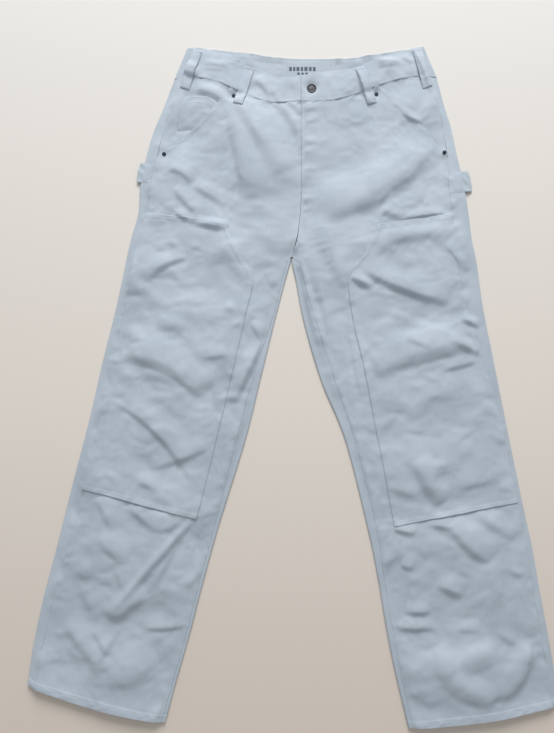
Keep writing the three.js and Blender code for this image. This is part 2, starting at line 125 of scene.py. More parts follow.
LEFT_SECTIONS = [
    (232, 47, -5, 0, 12, 12, 0.6),
    (244, -5, -5, -36, 13, 12, 0.6),
    (254, -44, -5, -80, 14, 12, 0.6),
    (263, -96, -5, -125, 17, 12, 0.55),
    (273, -150, -6, -182, 27, 12, 0.5),
    (278, -194, -12.4, -242, 28, 12, 0.49),
    (282, -240, -21.8, -276, 30, 12, 0.55),
    (289, -285, -15, -314, 35, 12, 0.7),
    (296, -358, -1, -388, 29, 19, 0.756),
    (310, -448, 26, -482, 16, 21, 0.796),
    (325, -545, 64, -578, 9, 14, 0.845),
    (346, -676, 99, -722, 9, 13, 0.876),
    (358, -745, 113, -796, 10, 9, 0.87),
    (369, -827, 124, -868, 12, 9, 0.87),
    (379, -899, 137, -937, 12, 8, 0.87),
    (388, -981, 155, -1015, 11, 6, 0.87),
]
RIGHT = SimpleNamespace(
    name="right", sign=-1, sections=np.array(RIGHT_SECTIONS, float), waist_wave=10, mouth_bend=1.25,
    front_top=[(-204, 103), (-172, 100), (-138, 91), (-85, 64), (-45, 46), (-5, 46)],
    back_top=[(-204, 103), (-108, 96.5), (-60, 87), (-5, 84)])
LEFT = SimpleNamespace(
    name="left", sign=1, sections=np.array(LEFT_SECTIONS, float), waist_wave=9, mouth_bend=0.92,
    front_top=[(211, 105), (180, 97), (142, 86), (89, 62), (46, 56), (-5, 46)],
    back_top=[(211, 105), (135, 95), (76, 85), (-5, 84)])
SIDES = (RIGHT, LEFT)

# Creases of the upper layer, a row each: x and y of its start and end, bow to its left, height, sharp and
# reach. A step falls gently on its left, within reach, and steeply on its right, within sharp. The three
# factors apply to the heights, reaches and sharp flanks of all rows.
STEP_DEPTH = 2.2
STEP_REACH = 1.45
STEP_SPREAD = 1.35
STEPS = [
    # Right thigh and knee
    (-264, -320, -195, -277, 7, 2.5, 5, 22),
    (-301, -446, -194, -486, 9, 5.4, 15, 34),
    (-218, -468, -175, -511, 0, 2.2, 8, 28),
    (-266, -474, -212, -486, 0, 1.6, 12, 22),
    (-215, -471, -162, -507, 4, 2.2, 18, 24),
    (-245, -395, -199, -400, 0, 1.5, 10, 14),
    (-291, -418, -263, -415, 0, 1.5, 7, 14),
    (-253, -264, -230, -264, 0, 1.1, 5, 10),
    (-191, -263, -174, -261, 0, 1, 5, 10),
    (-228, -245, -221, -260, 0, 0.8, 4, 9),
    (-91, -386, -75, -417, 0, 1.6, 5, 12),
    (-66, -296, -58, -327, 0, 1.2, 5, 12),
    (-130, -368, -117, -365, 0, 1.2, 8, 10),
    (-148, -257, -108, -319, 0, 1.6, 16, 22),
    (-185, -220, -131, -229, 0, 2.8, 6, 12),
    (-219, -201, -197, -212, 0, 1.6, 4, 9),
    (-166, -447, -127, -443, 0, 2, 5, 16),
    (-158, -455, -146, -527, 0, 1.2, 4, 14),
    (-309, -520, -183, -647, 13, 2.6, 6, 27),
    (-250, -626, -156, -591, -4, 1.8, 6, 18),
    (-271, -646, -237, -660, 0, 1.5, 7, 18),
    (-115, -522, -65, -412, 0, 3.5, 8, 14),
    # Right shin and calf
    (-271, -821, -210, -729, 3, 2, 10, 26),
    (-243, -818, -204, -732, -2, 1.6, 10, 14),
    (-307, -861, -247, -818, 0, 3.4, 13, 18),
    (-321, -923, -288, -866, 0, 1.4, 4, 12),
    (-259, -869, -187, -866, -4, 1.9, 5, 18),
    (-287, -686, -237, -723, 0, 2.1, 8, 22),
    (-239, -723, -198, -709, -3, 2, 8, 22),
    (-332, -737, -285, -771, 0, 2.8, 13, 22),
    (-307, -768, -282, -827, 0, 1.6, 9, 22),
    (-361, -813, -329, -858, 0, 1.5, 12, 22),
    (-365, -778, -344, -798, 0, 1, 8, 14),
    (-336, -672, -309, -723, 0, 2, 8, 18),
    # Right ankle
    (-384, -860, -320, -938, 0, 2.8, 12, 22),
    (-335, -872, -309, -909, 0, 1.8, 6, 12),
    (-301, -960, -226, -929, 0, 3.4, 20, 32),
    (-238, -1006, -215, -992, 0, 1.4, 6, 10),
    (-377, -901, -345, -922, 0, 1.6, 8, 14),
    # Right hip and pocket
    (-234, -125, -193, -150, 7, 2.2, 5, 14),
    (-194, -153, -136, -190, 3, 1.7, 8, 16),
    (-223, -158, -180, -202, -3, 1.8, 7, 15),
    (-136, 8, -100, -176, 0, 4.6, 15, 30),
    (-128, 4, -54, -137, 6, 6, 14, 40),
    (-76, -60, -45, -150, 3, 2, 10, 20),
    (-188, 18, -141, -1, 3, 3, 6, 14),
    # Fly and crotch
    (-62, 4, -11, -89, 12, 2.2, 10, 12),
    (-33, 0, -9, -26, 2, 1.2, 5, 7),
    (0, -17, 22, -15, 0, 0.9, 3.5, 9),
    (2, -38, 19, -37, 0, 0.9, 3.5, 9),
    (0, -76, 20, -75, 0, 0.8, 3.5, 9),
    (0, -93, 13, -93, 0, 0.6, 3.5, 8),
    (-2, -123, 20, -123, 0, 0.6, 3.5, 9),
    (-3, -180, 19, -171, 0, 0.9, 3.5, 9),
    (-3, -196, 13, -191, 0, 0.9, 3.5, 7),
    (-25, -296, -8, -296, 0, 2.2, 4, 9),
    # Left hip and thigh
    (-5, -326, 14, -425, 0, 2.5, 6, 14),
    (22, -216, 236, -88, -16, 6, 24, 46),
    (172, -121, 229, -84, -2, 1.4, 12, 26),
    (133, -164, 197, -134, 3, 1.4, 12, 28),
    (41, -205, 142, -175, 2, 1.2, 14, 30),
    (127, -199, 164, -212, 0, 2, 9, 18),
    (166, -19, 204, -38, -4, 1.6, 4, 11),
    (161, -212, 239, -198, 0, 1.6, 3.5, 12),
    (116, -252, 251, -236, 0, 2.4, 14, 18),
    (92, -300, 236, -357, -6, 3.8, 7, 26),
    (75, -311, 109, -331, 0, 3, 5, 13),
    (233, -254, 268, -300, 0, 1.5, 4, 12),
    (257, -382, 288, -395, 0, 2, 5, 13),
    (7, -213, 44, -255, 0, 2, 9, 20),
    (1, -250, 36, -385, 0, 1.2, 9, 14),
    (17, -233, 60, -329, 2, 3.2, 8, 20),
    # Waistband
    (-175, 69, -132, 64, 0, 1.3, 3.5, 9),
    (-176, 60, -136, 57, 0, 0.7, 3, 6),
    (-117, 84, -87, 64, 0, 1.4, 6, 12),
    (-86, 42, -59, 11, 0, 1.4, 6, 12),
    (-216, 55, -182, 44, 0, 3, 8, 14),
    (186, 100, 219, 17, 0, 2.4, 4, 10),
    (87, 61, 109, -6, 0, 1.6, 4, 9),
    (126, 71, 168, 73, 0, 1.1, 3.5, 8),
    (128, 63, 168, 68, 0, 1, 3.5, 8),
    (170, 82, 187, 69, 0, 1.2, 4, 9),
    # Left knee
    (115, -474, 271, -425, 4, 6, 18, 34),
    (162, -414, 201, -432, 0, 2.5, 5, 15),
    (231, -417, 283, -440, 0, 2.5, 5, 15),
    (221, -468, 286, -452, 0, 1.5, 5, 12),
    (170, -613, 207, -683, -2, 4, 13, 20),
    (241, -659, 303, -643, 0, 1.1, 7, 18),
    (131, -656, 178, -672, 0, 1.3, 6, 16),
    # Left shin and calf
    (198, -714, 231, -720, 0, 2.4, 6, 18),
    (223, -715, 283, -772, -4, 4.2, 10, 26),
    (137, -720, 171, -729, 0, 2.6, 6, 12),
    (147, -775, 167, -783, 0, 1.8, 6, 14),
    (203, -806, 242, -824, 0, 2.8, 7, 20),
    (268, -701, 326, -735, 0, 1.8, 10, 18),
    (317, -783, 337, -793, 0, 1.2, 5, 9),
    (155, -848, 192, -848, 0, 2, 5, 14),
    (140, -872, 201, -873, 0, 2, 5, 14),
    (232, -873, 269, -876, 0, 1, 6, 14),
    (294, -878, 320, -895, 0, 1.1, 6, 14),
    (236, -931, 301, -907, 0, 3.4, 18, 14),
    # Left ankle
    (191, -901, 223, -963, -2, 4.4, 16, 18),
    (217, -953, 286, -982, -4, 5, 17, 18),
    (300, -980, 352, -901, -6, 4.6, 16, 18),
    (342, -922, 351, -887, 0, 1.6, 6, 14),
]

# Ridges, and a trough where the height is negative: start, end, bow, height, and the half width of both sides
RIDGES = [
    (-309, -849, -182, -703, 0, 6, 9),
    (-244, -810, -195, -727, 0, 1.5, 5),
    (2, -256, 41, -399, 0, 3, 9),
    (64, -390, 88, -527, 0, -2, 7),
    (-308, -845, -183, -708, 2, 3, 8),
]

# Heights of the waves that cloth has between its creases
WAVES = SimpleNamespace(slow=4.4, middle=1.5, quick=1.05, fine=0.5)

# Coin pocket on the right facing, with a deep hem and an open upper edge
COIN_TOP = [(-207, 7), (-187, 11), (-165, 8), (-146, -4)]
COIN_HEM = 13
COIN_DEPTH = 58
COIN_LEAN = 0.22
COIN_HOLLOW = 1.3
COIN_MELT = 1.45

# Metal: places, and profiles of radius share and height
BUTTON = SimpleNamespace(x=13, y=24, diameter=17, lift=0.4, sides=64)
BUTTON_PROFILE = [(0, 0), (0.55, 0), (0.55, 0.9), (0.86, 1.05), (0.95, 1.35), (1, 1.9), (0.985, 2.4),
                  (0.94, 2.8), (0.87, 3.0), (0.79, 2.95), (0.73, 2.6), (0.69, 2.3), (0.62, 2.2), (0.4, 2.3),
                  (0.3, 2.55), (0.24, 2.6), (0.12, 2.5), (0, 2.48)]
RIVET = SimpleNamespace(diameter=7, lift=0.3, sides=32)
RIVET_PROFILE = [(0, 0), (0.98, 0), (1, 0.3), (0.96, 0.6), (0.82, 0.95), (0.66, 1.1), (0.56, 1.0),
                 (0.46, 1.05), (0.36, 1.35), (0.2, 1.5), (0, 1.52)]
RIVETS = {"pocket_top_right": (-121.5, 13), "pocket_end_right": (-240, -93),
          "pocket_top_left": (125.5, 16), "pocket_end_left": (240, -90)}

# Relief along seams: a felled ridge, stitched grooves, puckers, and the fly's placket
FELL = SimpleNamespace(height=0.5, rise=1, end=7.4, fall=1.8, edge_fall=0.45)
STITCH_ROWS = (1.6, 6.6)
GROOVE = SimpleNamespace(depth=0.22, half_width=1.1)
PUCKER = SimpleNamespace(pitch=8.5, reach=13, height=0.5)
WAIST_BULK = 0.8
WAIST_BULK_REACH = 7
FLY = SimpleNamespace(width=34, end=168, placket=1.5, fold=0.9)


def garment_shift():
    """Millimetres from the garment's place to the frame's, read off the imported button."""
    low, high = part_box("button")
    middle = (low + high) / 2 / MM
    return np.array([middle[0] - BUTTON.x, middle[1] - BUTTON.y, 0])


SHIFT = garment_shift()


# Small helpers on arrays
LATTICE = 257


def smooth(value):
    t = np.clip(value, 0, 1)
    return t * t * (3 - 2 * t)


def mix(a, b, t):
    return a + (b - a) * t


def near(distance, reach):
    """1 on a line, and less beside it, down to 0 at reach."""
    return 1 - smooth(distance / reach)


def bump(distance, centre, half_width):
    return near(np.abs(distance - centre), half_width)


def points(x, y, z):
    """Points from their coordinates, which are brought to one shape."""
    return np.stack(np.broadcast_arrays(x, y, z), axis=-1)


def through_four(a, b, c, d, t):
    slope_in = (c - a) / 2
    slope_out = (d - b) / 2
    bend = 2 * (b - c) + slope_in + slope_out
    return ((bend * t + (3 * (c - b) - 2 * slope_in - slope_out)) * t + slope_in) * t + b


def between_rows(rows, places):
    """Values at any places between rows, on a smooth curve through the four nearest ones."""
    last = len(rows) - 1
    first = np.minimum(np.floor(places).astype(int), last - 1)
    four = [rows[np.clip(first + k, 0, last)] for k in (-1, 0, 1, 2)]
    return through_four(*four, (places - first)[:, None])


def spline(corners, samples=240):
    """Dense points of a smooth curve through corners, and the share of its length at each."""
    corners = np.array(corners, float)
    line = between_rows(corners, np.linspace(0, len(corners) - 1, samples))
    length = line_lengths(line)
    return line, length / length[-1]


def line_lengths(line):
    """Length of a line from its start to each of its points."""
    return np.concatenate([[0], np.cumsum(np.linalg.norm(np.diff(line, axis=0), axis=1))])


def places_at(wanted, lengths, line):
    """Points of a line at the wanted lengths along it."""
    return np.stack([np.interp(wanted, lengths, line[:, k]) for k in range(2)], axis=-1)


def along_spline(corners, share):
    """Points at shares of the length of a smooth curve through corners."""
    line, shares = spline(corners)
    return places_at(share, shares, line)


def value_noise(u, v, seed):
    """Smooth noise from -1 to 1 over two coordinates, one lattice cell a unit."""
    lattice = np.random.default_rng(seed).uniform(-1, 1, (LATTICE, LATTICE))
    iu, iv = np.floor(u).astype(int), np.floor(v).astype(int)
    fu, fv = smooth(u - iu), smooth(v - iv)

    def corner(a, b):
        return lattice[a % LATTICE, b % LATTICE]

    return mix(mix(corner(iu, iv), corner(iu + 1, iv), fu),
               mix(corner(iu, iv + 1), corner(iu + 1, iv + 1), fu), fv)


# Rows across the legs
def sections_at(side, stations):
    """Sections of a leg at any stations, one row each, with the lines that its panels meet on."""
    stations = np.asarray(stations, float)
    values = between_rows(side.sections, stations)
    cut = SimpleNamespace(**{name: values[:, k:k + 1] for k, name in enumerate(SECTION_COLUMNS)})
    cut.station = stations[:, None]
    cut.inward = -side.sign
    cut.side = cut.outer_x + cut.inward * cut.side_wrap
    wrap = mix(LEAST_WRAP, cut.inseam_wrap, smooth((cut.station - CROTCH) / 0.3))
    cut.seam = cut.inner_x - cut.inward * np.where(cut.station < CROTCH, 0, wrap)
    end = side.sections[MOUTH_END]
    end_x = end[0] - side.sign * end[4]
    share = np.clip(cut.station / MOUTH_END, 0, 1) ** side.mouth_bend
    cut.front_edge = np.where(cut.station >= MOUTH_END, cut.side,
                              mix(side.sign * POCKET_MOUTH_X, end_x, share))
    # The front panel runs from start to end, and the knee patch from start to patch_edge
    cut.start = cut.front_edge + cut.inward * SEAM_GAP / 2
    cut.end = cut.seam - cut.inward * SEAM_GAP / 2
    even_end = cut.inner_x - cut.inward * wrap * smooth(cut.station - CROTCH + 1)
    cut.patch_edge = mix(cut.start, even_end, cut.patch)
    cut.down = np.interp(cut.station, side.down_stations, side.down_values)
    return cut


def row_y(side, cut, x):
    """How far up the garment a row is at x: the waist waves a little and the hem bows."""
    share = (x - cut.outer_x) / (cut.inner_x - cut.outer_x)
    across = np.pi * np.clip(share, 0, 1)
    dip = side.waist_wave * np.clip(1 - cut.station / MOUTH_END, 0, 1) ** 2
    bow = HEM_BOW * np.clip(cut.station - HEM + 1, 0, 1) ** 2
    return mix(cut.outer_y, cut.inner_y, share) + dip * np.sin(2 * across) - bow * np.sin(across)


def row_stations(side):
    """Stations of the rows, evenly spaced in millimetres and closer near the hem and the patch's ends."""
    middle = (side.sections[:, 0:2] + side.sections[:, 2:4]) / 2
    spans = np.linalg.norm(np.diff(middle, axis=0), axis=1)
    side.down_stations = np.arange(len(middle))
    side.down_values = line_lengths(middle)
    even = [k + np.linspace(0, 1, math.ceil(span / ROW_STEP), endpoint=False) for k, span in enumerate(spans)]
    down = side.down_values
    close = [down[WAIST] + NEAR_SEAM]
    for station in (PATCH_TOP, PATCH_BOTTOM):
        close += [down[station] - NEAR_HEM, down[station] + NEAR_SEAM]
    close = np.interp(np.concatenate(close + [down[HEM] - NEAR_HEM]), down, side.down_stations)
    apart = 0.25 * ROW_STEP / spans.mean()
    kept = [s for s in np.concatenate(even + [[HEM]]) if np.abs(close - s).min() > apart or s in STATIONS]
    return thinned(np.unique(np.round(np.concatenate([kept, close]), 5)), apart * 0.6)


def thinned(stations, apart):
    """Stations without those that follow closer than apart, though one of a panel's ends stays."""
    spaced = [stations[0]]
    for station in stations[1:]:
        if station - spaced[-1] >= apart:
            spaced.append(station)
        elif station in STATIONS:
            spaced[-1] = station
    return np.array(spaced)


# Creases
def crease_frame(x0, y0, x1, y1, bow, x, y):
    """Distance to the left of a crease's bowed line, and the share of its height, less towards its ends."""
    dx, dy = x1 - x0, y1 - y0
    length = math.hypot(dx, dy)
    along = np.clip(((x - x0) * dx + (y - y0) * dy) / length ** 2, 0, 1)
    across = ((y - y0) * dx - (x - x0) * dy) / length - bow * 4 * along * (1 - along)
    return across, np.maximum(np.sin(np.pi * along), 0) ** 0.7


def creases(x, y):
    """Height that all steps and ridges add to the cloth."""
    total = 0
    for *line, height, sharp, reach in STEPS:
        across, ends = crease_frame(*line, x, y)
        sharp = STEP_SPREAD * sharp
        across = across - sharp / 2
        width = np.where(across > 0, STEP_REACH * reach, sharp)
        total = total + STEP_DEPTH * height * ends * near(np.abs(across), width)
    for *line, height, half_width in RIDGES:
        across, ends = crease_frame(*line, x, y)
        total = total + height * ends * bump(across, 0, half_width)
    return total


def soft_waves(x, y):
    """Slow unevenness of cloth that lies by itself, calmer over the hips."""
    x, y = x + 9 * value_noise(x / 31, y / 31, 7), y + 9 * value_noise(x / 29, y / 29, 8)
    slow = WAVES.slow * value_noise(x / 72 + 11, y / 62 + 5, 3)
    middle = WAVES.middle * value_noise((x + 0.5 * y) / 36 + 7, (y - 0.4 * x) / 30 + 9, 4)
    quick = WAVES.quick * value_noise(x / 19 + 3, y / 15 + 2, 5)
    fine = WAVES.fine * value_noise(x / 8.5 + 1, y / 7.5 + 6, 6)
    calm = 1 - HIP_CALM * smooth((y + 150) / 60) * near(y + 10, 20)
    return slow + (middle + quick) * calm + fine


def felled(distance, height=FELL.height, fall=FELL.edge_fall):
    """A ridge beside an edge, with two stitched grooves."""
    raised = height * smooth(distance / FELL.rise) * near(distance - FELL.end, FELL.fall)
    grooves = sum(GROOVE.depth * bump(distance, row, GROOVE.half_width) for row in STITCH_ROWS)
    return raised - fall * near(distance, FELL.rise) - grooves


def puckers(along, distance, seed, height=PUCKER.height, shear=0.35, reach=PUCKER.reach):
    fade = np.exp(-(distance / reach) ** 2)
    waves = value_noise((along + shear * distance) / PUCKER.pitch, distance / (2 * reach) + 3, seed)
    return height * fade * waves


def fly_relief(side, cut, x):
    """The left front lies over the right one, with the placket under it as far as its curved stitching."""
    across = (x - CENTRE_X) * side.sign
    lower = smooth((FLY.end - cut.down) / 26)
    if side is LEFT:
        return (FLY.placket * near(across - FLY.width, 5) - FLY.fold * near(across, 1.4)) * lower
    return -0.5 * near(across, 9) * lower


def seam_relief(side, cut, x):
    """Relief of a leg's upper layer by its seams, at points of the front panel."""
    from_start = np.abs(x - cut.start)
    from_end = np.abs(x - cut.end)
    outer = felled(from_start, 0.3, 0.1) + puckers(cut.down, from_start, 21 + side.sign)
    inner = felled(from_end, 0.4, 0.3) + puckers(cut.down, from_end, 31 + side.sign)
    below_crotch = smooth((cut.station - CROTCH) / 0.15)
    return outer + below_crotch * inner + waist_relief(cut, x, 41 + side.sign, 1.3) + fly_relief(side, cut, x)


def waist_relief(cut, x, seed, height):
    """Puckers under the waistband, and the bulk of its turned-in seam."""
    return puckers(x, cut.down, seed, height=height) + WAIST_BULK * np.exp(-cut.down / WAIST_BULK_REACH)


def hem_relief(side, cut, x, edge_calm):
    """A turned-up hem, roped along its stitching, that stands up away from the leg's folded edges."""
    from_hem = side.down_values[HEM] - cut.down
    turned_up = 0.75 * near(from_hem - HEM_DEPTH, 1.5)
    groove = -0.35 * bump(from_hem, HEM_STITCHES, 1.6)
    rope = puckers(x, np.abs(from_hem - 8), 51 + side.sign, height=0.75, shear=0.9, reach=11)
    flare = HEM_FLARE * near(from_hem, HEM_FLARE_REACH) * mix(0.3, 1, edge_calm)
    return turned_up + groove + rope + flare


def mouth_gape(side, cut, x):
    """The slanted pocket mouth stands off the facing in the middle of its length."""
    share = np.clip(cut.station / MOUTH_END, 0, 1)
    from_edge = np.abs(x - cut.front_edge)
    return 1.2 * np.sin(np.pi * share) ** 1.5 * np.exp(-from_edge / 16)


def quiet(x, y):
    """Share of the creasing that is left round the metal, which holds the cloth flat."""
    share = 1
    for metal_x, metal_y in [*RIVETS.values(), (BUTTON.x, BUTTON.y)]:
        share = share - np.exp(-((x - metal_x) ** 2 + (y - metal_y) ** 2) / QUIET_REACH ** 2)
    return np.maximum(share, 0)


def laid_relief(x, y, loft, margin):
    """Height that loft, creases and waves add to flat cloth, less where it stands tall."""
    raised = (loft + creases(x, y) + soft_waves(x, y)) * margin * quiet(x, y)
    return raised - np.maximum(raised - FULL_RELIEF, 0) / 2


def top_height(side, cut, x, y, front=False):
    """Height over the floor of the upper layer's outer face, on the front panel or on the layer round it."""
    from_outer = np.abs(x - cut.outer_x) - EDGE_RADIUS
    from_inner = np.abs(x - cut.inner_x) - EDGE_RADIUS
    from_hem = side.down_values[HEM] - cut.down
    folded = smooth((cut.station - CROTCH) / CROTCH_BLEND + 1)
    share = np.clip((x - cut.outer_x) / (cut.inner_x - cut.outer_x), 0, 1)
    loft = LOFT * np.sin(np.pi * share * mix(0.5, 1, folded)) ** 0.6
    edge_calm = smooth(from_outer / FOLD_MARGIN) * mix(1, smooth(from_inner / FOLD_MARGIN), folded)
    margin = edge_calm * mix(HEM_CALM, 1, smooth(from_hem / HEM_CALM_REACH))
    pressed = np.maximum(near(from_outer, PRESSED_REACH), folded * near(from_inner, PRESSED_REACH))
    height = FLAT_HEIGHT + laid_relief(x, y, loft, margin) - PRESSED * pressed * smooth(cut.down / WAIST_EASE)
    if front:
        height = height + seam_relief(side, cut, x) + mouth_gape(side, cut, x)
    return np.maximum(height + hem_relief(side, cut, x, edge_calm), LOWEST_TOP)


# Closed walls under grids of outer points, rows x columns x 3
def grid_normals(grid, facing):
    """Directions square to the cloth, without a share along the leg, so that its rows stay in place."""
    normal = np.cross(np.gradient(grid, axis=1), np.gradient(grid, axis=0))
    normal[..., 1] = 0
    length = np.linalg.norm(normal, axis=-1, keepdims=True)
    return facing * normal / np.maximum(length, 1e-9)


def moved(grid, facing, distance):
    """The grid's points, moved out square to the cloth."""
    return grid + grid_normals(grid, facing) * distance


# Vertices and faces of the pieces built so far, by name
BUILT = {}


def make_mesh(name, vertices, faces, material, sharp_from=50):
    """A mesh from garment points and faces: one array of faces with as many sides, or a list of such."""
    groups = faces if isinstance(faces, list) else [faces]
    BUILT[name] = (vertices, groups)
    loops = np.concatenate([group.ravel() for group in groups])
    sizes = np.concatenate([np.full(len(group), group.shape[1]) for group in groups])
    starts = np.concatenate([[0], np.cumsum(sizes)[:-1]])
    mesh = bpy.data.meshes.new(name)
    mesh.vertices.add(len(vertices))
    mesh.vertices.foreach_set("co", ((vertices + SHIFT) * MM).ravel())
    mesh.loops.add(len(loops))
    mesh.loops.foreach_set("vertex_index", loops.astype(np.int32))
    mesh.polygons.add(len(sizes))
    mesh.polygons.foreach_set("loop_start", starts.astype(np.int32))
    mesh.polygons.foreach_set("use_smooth", np.ones(len(sizes), bool))
    mesh.update(calc_edges=True)
    mesh.validate()
    mesh.set_sharp_from_angle(angle=math.radians(sharp_from))
    mesh.materials.append(material)
    piece = bpy.data.objects.new(name, mesh)
    bpy.context.scene.collection.objects.link(piece)
    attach(piece, "root")
    return piece


def wall_faces(rows, columns, facing):
    """Faces of a closed wall: the outer skin, the inner one, whose points follow it, and the rim."""
    index = np.arange(rows * columns).reshape(rows, columns)
    a, b = index[:-1, :-1].ravel(), index[:-1, 1:].ravel()
    c, d = index[1:, 1:].ravel(), index[1:, :-1].ravel()
    skin = rows * columns
    outer = np.stack([a, b, c, d], axis=1)
    inner = np.stack([a, d, c, b], axis=1) + skin
    rim = np.concatenate([index[0, :-1], index[:-1, -1], index[-1, :0:-1], index[:0:-1, 0]])
    onward = np.roll(rim, -1)
    edge = np.stack([onward, rim, rim + skin, onward + skin], axis=1)
    faces = np.concatenate([outer, inner, edge])
    return faces if facing > 0 else faces[:, ::-1]


def wall(name, grid, facing, thickness, material, inner_relief=0):
    """A closed sheet of cloth under the outer points of a grid, none of it below the floor."""
    rows, columns = grid.shape[:2]
    inner = moved(grid, facing, -thickness)
    inner[..., 2] += inner_relief
    vertices = np.concatenate([grid.reshape(-1, 3), inner.reshape(-1, 3)])
    vertices[:, 2] = np.maximum(vertices[:, 2], 0)
    return make_mesh(name, vertices, wall_faces(rows, columns, facing), material)


# Materials
def node_tree(name):
    material = bpy.data.materials.new(name)
    material.use_nodes = True
    tree = material.node_tree
    tree.nodes.clear()
    output = tree.nodes.new("ShaderNodeOutputMaterial")
    shader = tree.nodes.new("ShaderNodeBsdfPrincipled")
    tree.links.new(shader.outputs["BSDF"], output.inputs["Surface"])
    return material, tree, shader


def add(tree, kind, inputs=None, **settings):
    node = tree.nodes.new(kind)
    for key, value in settings.items():
        setattr(node, key, value)
    feed(tree, node, inputs or {})
    return node


def feed(tree, node, inputs):
    """Set the inputs of a node to values, or link them to the outputs of other nodes."""
    for key, value in inputs.items():
        if isinstance(value, bpy.types.NodeSocket):
            tree.links.new(value, node.inputs[key])
        else:
            node.inputs[key].default_value = value


def ramp(tree, factor, stops):
    node = add(tree, "ShaderNodeValToRGB", {"Fac": factor})
    while len(node.color_ramp.elements) < len(stops):
        node.color_ramp.elements.new(0.5)
    for element, (position, colour) in zip(node.color_ramp.elements, stops):
        element.position = position
        element.color = (*colour, 1)
    return node.outputs["Color"]


THREAD_PITCH = 0.62


def duck_cloth(name, colour, shade):
    """Washed cotton duck: a plain weave of two crossed threads, cloudy shades and a soft sheen."""
    material, tree, shader = node_tree(name)
    place = add(tree, "ShaderNodeTexCoord").outputs["Object"]
    clouds = add(tree, "ShaderNodeTexNoise", {"Vector": place, "Scale": 14, "Detail": 5, "Roughness": 0.6})
    slubs = add(tree, "ShaderNodeMapping", {"Vector": place, "Scale": (420, 60, 60)})
    streaks = add(tree, "ShaderNodeTexNoise", {"Vector": slubs.outputs["Vector"], "Scale": 1, "Detail": 2})
    cloudy = ramp(tree, clouds.outputs["Fac"], [(0.36, shade), (0.64, colour)])
    grey = ramp(tree, streaks.outputs["Fac"], [(0.3, (0.97, 0.972, 0.975)), (0.7, (1, 1, 1))])
    tinted = add(tree, "ShaderNodeMix", {"Factor": 1.0, "A": cloudy, "B": grey},
                 data_type="RGBA", blend_type="MULTIPLY")
    shader.inputs["Base Color"].default_value = (*colour, 1)
    threads = {"Vector": place, "Scale": 1 / (THREAD_PITCH * MM) / math.tau, "Distortion": 0.4, "Detail": 1}
    warp, weft = (add(tree, "ShaderNodeTexWave", threads, bands_direction=way).outputs["Fac"] for way in "XY")
    weave = add(tree, "ShaderNodeMath", {0: warp, 1: weft}, operation="MULTIPLY")
    crumple = add(tree, "ShaderNodeTexNoise", {"Vector": place, "Scale": 120, "Detail": 4})
    relief = add(tree, "ShaderNodeBump", {"Height": crumple.outputs["Fac"], "Strength": 0.16,
                 "Distance": 0.0008})
    fine = add(tree, "ShaderNodeBump", {"Height": weave.outputs["Value"], "Strength": 0.18,
               "Distance": 0.0002, "Normal": relief.outputs["Normal"]})
    feed(tree, shader, {"Base Color": tinted.outputs["Result"], "Normal": fine.outputs["Normal"],
                        "Roughness": 0.88, "Specular IOR Level": 0.25, "Sheen Weight": 0.12,
                        "Sheen Roughness": 0.6})
    return material


def metal(name, colour, roughness):
    material, tree, shader = node_tree(name)
    place = add(tree, "ShaderNodeTexCoord").outputs["Object"]
    wear = add(tree, "ShaderNodeTexNoise", {"Vector": place, "Scale": 900, "Detail": 3})
    dull = tuple(0.55 * c for c in colour)
    worn = ramp(tree, wear.outputs["Fac"], [(0.35, dull), (0.65, colour)])
    feed(tree, shader, {"Base Color": worn, "Metallic": 1, "Roughness": roughness})
    return material


def floor_material():
    """A pale floor, a little lighter beyond the waist than by the hems: the darkening towards the hems is
    painted shade, added to the window's own falloff.
    """
    material, tree, shader = node_tree("floor_pale")
    place = add(tree, "ShaderNodeTexCoord").outputs["Object"]
    parts = add(tree, "ShaderNodeSeparateXYZ", {"Vector": place})
    far = add(tree, "ShaderNodeMapRange", {"Value": parts.outputs["Y"], "From Min": -0.75, "From Max": 0.65})
    tint = ramp(tree, far.outputs["Result"], FLOOR_PAINTED_SHADE_STOPS)
    feed(tree, shader, {"Base Color": tint, "Roughness": 0.95, "Specular IOR Level": 0.1})
    return material


# Floor colours from the hems to beyond the waist: darker and warmer towards the hems, painted shade on top of
# the light's own falloff
FLOOR_PAINTED_SHADE_STOPS = [(0, (0.775, 0.68, 0.586)), (0.5, (0.835, 0.77, 0.70)), (1, (0.79, 0.77, 0.735))]
DUCK = duck_cloth("duck_cloth_washed", (0.53, 0.60, 0.67), (0.46, 0.53, 0.60))
DUCK_INNER = duck_cloth("duck_cloth_inside", (0.51, 0.575, 0.64), (0.44, 0.505, 0.57))
THREAD = duck_cloth("sewing_thread", (0.62, 0.69, 0.75), (0.56, 0.63, 0.70))
INK = duck_cloth("label_ink", (0.13, 0.17, 0.21), (0.08, 0.11, 0.14))
STEEL = metal("button_steel_worn", (0.085, 0.09, 0.10), 0.5)
DARK_STEEL = metal("rivet_steel_dark", (0.045, 0.055, 0.07), 0.45)


def build_cloth(node, grid, facing, thickness=CLOTH, material=DUCK, relief=0):
    """A piece of laid cloth that stands for a node, which it hides."""
    name = "cloth_" + node.removeprefix("pocket_")
    piece = wall(name, grid, facing, thickness, material, relief)
    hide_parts(node)


# Panels of a leg. Stations of their ends are compared with this slack.
SLACK = 1e-6


def between(start, end, first, last, step_count):
    """Columns from start to end: set distances off each end, and even steps between."""
    direction = np.sign(end - start)
    width = np.abs(end - start)
    shrink = np.minimum(1, 0.45 * width / max(first[-1], last[-1], 1e-6))
    low = start + direction * shrink * first[None, :]
    high = end - direction * shrink * last[::-1][None, :]
    inner = np.linspace(0, 1, step_count + 2)[1:-1][None, :]
    middle = mix(low[:, -1:], high[:, :1], inner)
    return np.concatenate([low, middle, high], axis=1)


